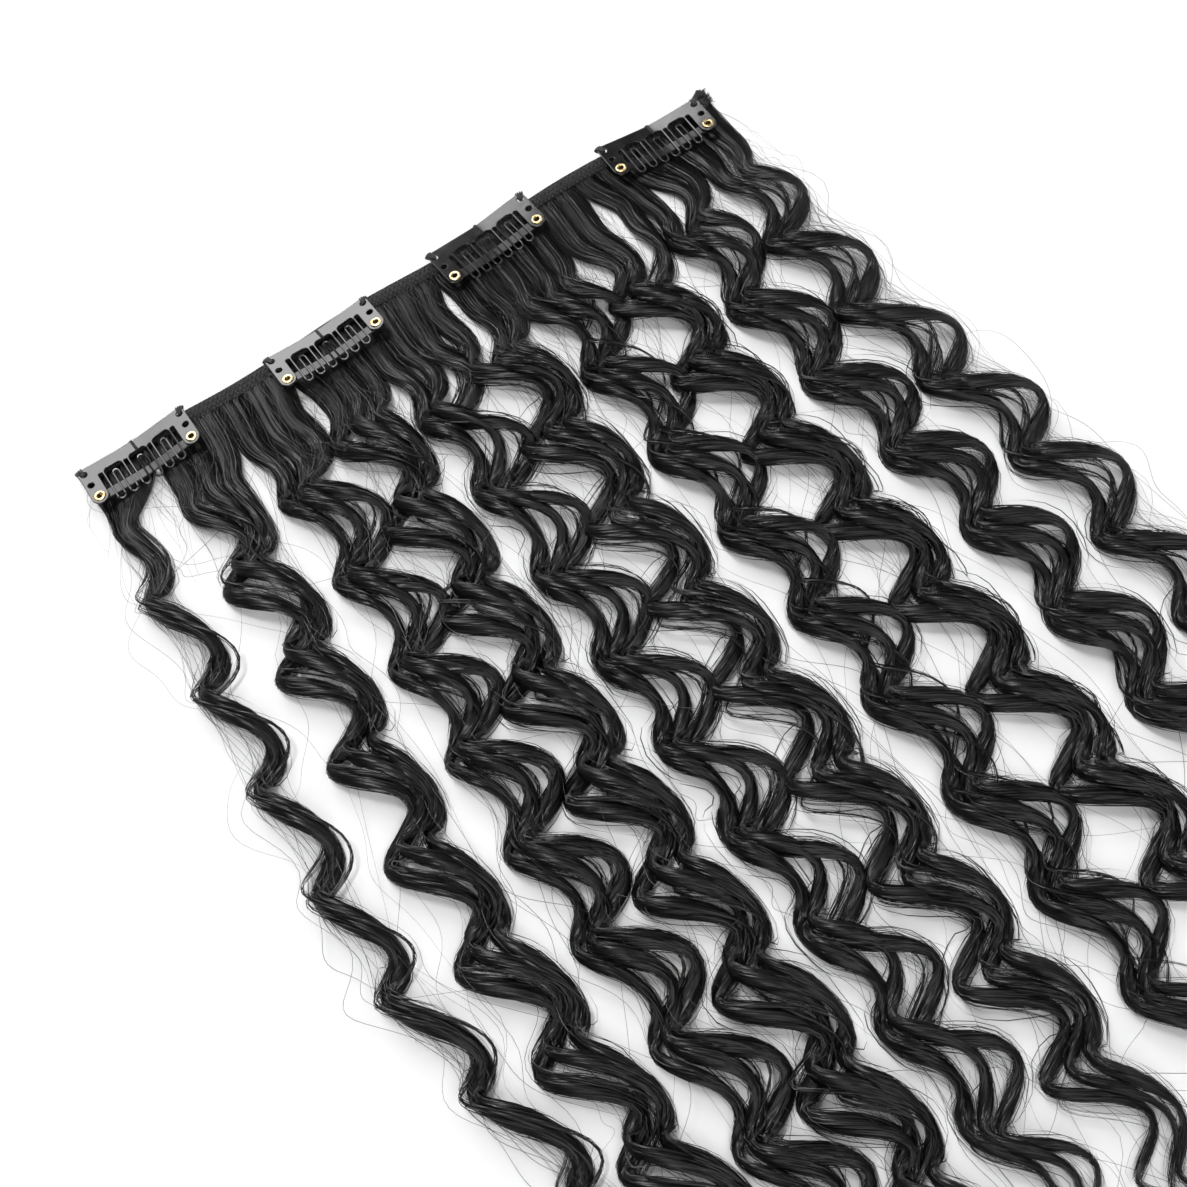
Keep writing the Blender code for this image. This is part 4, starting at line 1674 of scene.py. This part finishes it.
    def eyelet(self, draft: Draft, side: Side) -> None:
        """Turn one hollow rivet with a rolled rim above the plate and a flared foot under the strip.

        Args:
            draft: The piece that it goes into.
            side: The end of the clip that it holds.
        """
        top = self.sheet / 2 + self.clip_gap * 0.4
        foot = -self.sheet * 1.5 - self.clip_gap * 1.2
        crest = self.rim_reach - self.rim_round
        rim = [
            (crest + self.rim_round * math.cos(a), top + self.rim_rise * math.sin(a))
            for a in np.linspace(0.0, math.pi / 2, 6)
        ]
        brim = top + self.rim_rise
        lip = [
            (self.lip_reach - self.lip_round * math.sin(a), brim - self.lip_drop * (1 - math.cos(a)))
            for a in np.linspace(0.15, math.pi / 2, 6)
        ]
        lower = [(0.72, foot), (1.05, foot - 0.3), (1.4, foot - 0.12), (1.4, foot), (1.0, foot + 0.02)]
        profile = np.array(rim + lip + lower + [(1.0, top - 0.06), (1.56, top - 0.06)])
        sides = self.rivet_sides
        angle = TAU * np.arange(sides) / sides
        count = len(profile)
        points = np.zeros((sides, count, 3))
        points[..., 0] = side.value * self.eyelet_x + np.cos(angle)[:, None] * profile[:, 0]
        points[..., 1] = np.sin(angle)[:, None] * profile[:, 0]
        points[..., 2] = profile[:, 1] + self.lift(self.eyelet_x)
        here = np.arange(sides)[:, None] * count + np.arange(count)
        there = (np.arange(sides)[:, None] + 1) % sides * count + np.arange(count)
        quads = np.stack([here, there, np.roll(there, -1, axis=1), np.roll(here, -1, axis=1)], axis=-1)
        places = np.stack(np.broadcast_arrays(angle[:, None] / TAU * 10, profile[:, 0]), axis=-1)
        draft.add(points.reshape(-1, 3), [quads.reshape(-1, 4)[:, ::-1]], places.reshape(-1, 2))

    def sewing(self, draft: Draft) -> None:
        """Wind thread through both corner holes round the spine's edge, and once aslant round its middle.

        Args:
            draft: The piece that it goes into.
        """
        turn = np.linspace(0.0, TAU, 30)[:-1]
        for side in Side:
            hole_x, hole_y = self.holes[1]
            for number, (out, up) in enumerate(self.corner_turns):
                along, back = (step * number for step in self.corner_step)
                near = np.array([side.value * (hole_x - 0.25 + along), hole_y - 0.2 - back, 0.05])
                far = np.array([side.value * (hole_x + out), self.spine_y + up, -0.4])
                self.wound(draft, near, far, turn, self.corner_rise, self.corner_thread)
        for shift in self.middle_turns:
            near = np.array([0.15 + shift, self.opening_top - 0.15, 0.0])
            far = np.array([-0.1 + shift, self.spine_y + 0.3, -0.1])
            self.wound(draft, near, far, turn, self.middle_rise, self.middle_thread)

    def wound(self, draft: Draft, near: Array, far: Array, turn: Array, rise: float, radius: float) -> None:
        """Add one closed loop of thread that spans two points and stands up between them.

        Args:
            draft: The piece that it goes into.
            near: First point.
            far: Second point.
            turn: Angles of the loop's points, in radians.
            rise: How far it stands up.
            radius: The thread's radius.
        """
        middle = (near + far) / 2
        reach = (far - near) / 2
        height = np.array([0.0, 0.0, rise])
        shape = np.sign(np.sin(turn)) * np.abs(np.sin(turn)) ** 0.7
        path = middle + np.cos(turn)[:, None] * reach + shape[:, None] * height
        path[:, 2] += [self.lift(x) for x in path[:, 0]]
        add_loop(draft, path, radius, 7)

    @staticmethod
    def seated(
        name: str, mesh: bpy.types.Mesh, seat: Matrix, material: bpy.types.Material
    ) -> bpy.types.Object:
        """Copy a mesh to a clip's seat as a piece of steel.

        Args:
            name: The piece's name.
            mesh: The mesh, in the clip's own millimetres.
            seat: The clip's matrix.
            material: The piece's finish.

        Returns:
            The object.
        """
        own = mesh.copy()
        own.name = name
        own.transform(seat)
        return placed_piece(name, own, material)

    @staticmethod
    def drafted(
        draft: Draft, name: str, seat: Matrix, material: bpy.types.Material, slot: Slot
    ) -> bpy.types.Object:
        """Turn a draft into a piece at a clip's seat.

        Args:
            draft: The draft, in the clip's own millimetres.
            name: The piece's name.
            seat: The clip's matrix.
            material: The piece's finish.
            slot: Passed on to Draft.piece, which does not use it.

        Returns:
            The object.
        """
        piece = draft.piece(name, material, slot)
        piece.data.transform(seat @ Matrix.Scale(1 / MM, 4))
        return piece

    def build(self) -> list[bpy.types.Object]:
        """Make all four clips; all but their teeth ride the weft, and the teeth stay on their own.

        Returns:
            The pieces.
        """
        plate, teeth = self.plate_meshes()
        bar = self.bent(self.pressed(self.bar_outlines()), self.sheet + self.clip_gap, False)
        pieces = []
        for seat in SEATS:
            matrix = self.seat_matrix(seat)
            fixed = self.seated(seat.name + "_plate", plate, matrix, self.enamel)
            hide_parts(seat.name + "_frame")
            strip = self.seated(seat.name + "_snap_strip", bar, matrix, self.dull_enamel)
            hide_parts(seat.name + "_bar")
            riding = [fixed, strip]
            for side in Side:
                draft = Draft()
                self.eyelet(draft, side)
                label = side.name.lower()
                rivet = self.drafted(draft, f"{seat.name}_rivet_{label}", matrix, self.brass, Slot.BRASS)
                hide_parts(f"{seat.name}_eyelet_{label}")
                riding.append(rivet)
            draft = Draft()
            self.sewing(draft)
            riding.append(self.drafted(draft, seat.name + "_sewing", matrix, self.thread, Slot.WEFT))
            for piece in riding:
                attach(piece, ROOT_BODY)
            comb = self.seated(seat.name + "_tooth_row", teeth, matrix, self.enamel)
            seam = matrix @ Vector((0.0, self.seam_y, self.lift(self.arm_inner)))
            inward = matrix @ Vector((0.0, self.seam_y - self.blend_run, self.lift(self.arm_inner)))
            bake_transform(comb)
            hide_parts(seat.name + "_comb")
            pieces += riding + [comb]
        for piece in pieces:
            report(piece)
        return pieces


# Studio


@dataclass(frozen=True)
class Softbox:
    """A rectangular soft light: where it hangs and its size in metres, its power in watts and its roll."""

    name: str
    place: Place
    size: Span
    power: float
    roll: float = 0.0

    def hang(self, aim: Vector) -> None:
        """Hang the light so that it faces a place.

        Args:
            aim: The place, in metres.
        """
        light = bpy.data.lights.new(self.name, "AREA")
        light.shape = "RECTANGLE"
        light.size, light.size_y = self.size
        light.energy = self.power
        holder = bpy.data.objects.new(self.name, light)
        holder.location = Vector(self.place)
        level = (aim - Vector(self.place)).to_track_quat("-Z", "Y")
        turned = level @ Quaternion((0.0, 0.0, 1.0), math.radians(self.roll))
        holder.rotation_euler = turned.to_euler()
        bpy.context.scene.collection.objects.link(holder)


SOFTBOXES = (
    Softbox("back_softbox", (0.04, 0.808, 0.58), (0.64, 0.45), 5.2, 41.0),
    Softbox("top_softbox", (-0.10, 0.30, 1.00), (0.34, 0.24), 5.4),
    Softbox("overhead_softbox", (-0.25, -0.85, 1.10), (1.3, 1.1), 8.0),
    Softbox("side_softbox", (0.95, -0.15, 0.75), (0.5, 0.8), 3.0),
)


@dataclass
class Studio:
    """A round white floor before a pale wall, four soft lights, and the camera of the photograph."""

    floor_finish: FloorFinish = FloorFinish()
    light_aim: Place = (0.0, -0.1, 0.0)
    camera_place: Place = (-57.5, -212.7, 332.5)
    camera_aim: Place = (-8.6, -104.2, 0.0)
    camera_roll: float = -10.54
    focal_pixels: float = 1400.0
    image_pixels: float = 1187.0
    sensor: float = 36.0
    sky: float = 0.11
    wall: float = 0.80
    wall_span: Span = (0.12, 0.26)
    floor_radius: float = 780.0
    floor_middle: Span = (0.0, -150.0)
    floor_start: float = 0.1
    floor_rings: int = 9
    floor_sides: int = 128

    def floor(self) -> bpy.types.Object:
        """Lay a round floor that ends where it is as pale as the wall behind it.

        Returns:
            The floor.
        """
        draft = Draft()
        radius = np.linspace(self.floor_start, 1.0, self.floor_rings)[:, None] * self.floor_radius
        turn = TAU * np.arange(self.floor_sides) / self.floor_sides
        x, y = self.floor_middle[0] + radius * np.cos(turn), self.floor_middle[1] + radius * np.sin(turn)
        points = np.stack([x, y, np.zeros_like(x)], axis=-1).reshape(-1, 3)
        around = np.arange(self.floor_sides)
        inner = np.arange(self.floor_rings - 1)[:, None] * self.floor_sides + around
        beside = np.roll(inner, -1, axis=1)
        quads = np.stack([inner, inner + self.floor_sides, beside + self.floor_sides, beside], axis=-1)
        draft.add(points, [quads.reshape(-1, 4), around[None]], points[:, :2] * MM)
        floor = draft.piece("floor", self.floor_finish.material(), Slot.WEFT)
        return floor

    def lights(self) -> None:
        """Hang the lights, the brighter ones behind for the gloss on paint and hair, before a pale wall."""
        for softbox in SOFTBOXES:
            softbox.hang(Vector(self.light_aim))
        world = bpy.data.worlds.new("studio")
        world.use_nodes = True
        nodes, links = world.node_tree.nodes, world.node_tree.links
        direction = nodes.new("ShaderNodeTexCoord")
        parts = nodes.new("ShaderNodeSeparateXYZ")
        height = nodes.new("ShaderNodeMapRange")
        limits = (*self.wall_span, self.wall, self.sky)
        for socket, value in zip(("From Min", "From Max", "To Min", "To Max"), limits):
            height.inputs[socket].default_value = value
        nodes["Background"].inputs["Color"].default_value = (1.0, 1.0, 1.0, 1.0)
        links.new(direction.outputs["Generated"], parts.inputs["Vector"])
        links.new(parts.outputs["Z"], height.inputs["Value"])
        links.new(height.outputs["Result"], nodes["Background"].inputs["Strength"])
        bpy.context.scene.world = world

    def camera(self) -> None:
        """Set the camera where the photograph was taken from."""
        place = Vector(self.camera_place) * MM
        forward = (Vector(self.camera_aim) * MM - place).normalized()
        level = forward.cross(Vector((0.0, 0.0, 1.0))).normalized()
        rise = level.cross(forward)
        roll = math.radians(self.camera_roll)
        right = level * math.cos(roll) + rise * math.sin(roll)
        up = rise * math.cos(roll) - level * math.sin(roll)
        data = bpy.data.cameras.new("camera")
        data.sensor_width = self.sensor
        data.lens = self.sensor * self.focal_pixels / self.image_pixels
        data.clip_start, data.clip_end = 0.01, 50.0
        holder = bpy.data.objects.new("camera", data)
        holder.matrix_world = Matrix.Translation(place) @ Matrix((right, up, -forward)).transposed().to_4x4()
        bpy.context.scene.collection.objects.link(holder)
        bpy.context.scene.camera = holder

    def build(self) -> None:
        """Set up floor, lights and camera."""
        self.floor()
        self.lights()
        self.camera()


def main() -> None:
    """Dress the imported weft."""
    logging.basicConfig(level=logging.INFO, format="%(message)s")
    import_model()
    Band().build()
    strip_finish = PaintFinish("dull_black_enamel", smooth=0.16, dull=0.30, specular=0.38, coat=0.1)
    sewing_finish = ThreadFinish("sewing_thread")
    SnapClip(
        PaintFinish().material(), strip_finish.material(), BrassFinish().material(), sewing_finish.material()
    ).build()
    Hair().build()
    Studio().build()
    bpy.context.scene.view_settings.view_transform = "Standard"
    bpy.context.view_layer.update()


if __name__ == "__main__":
    main()
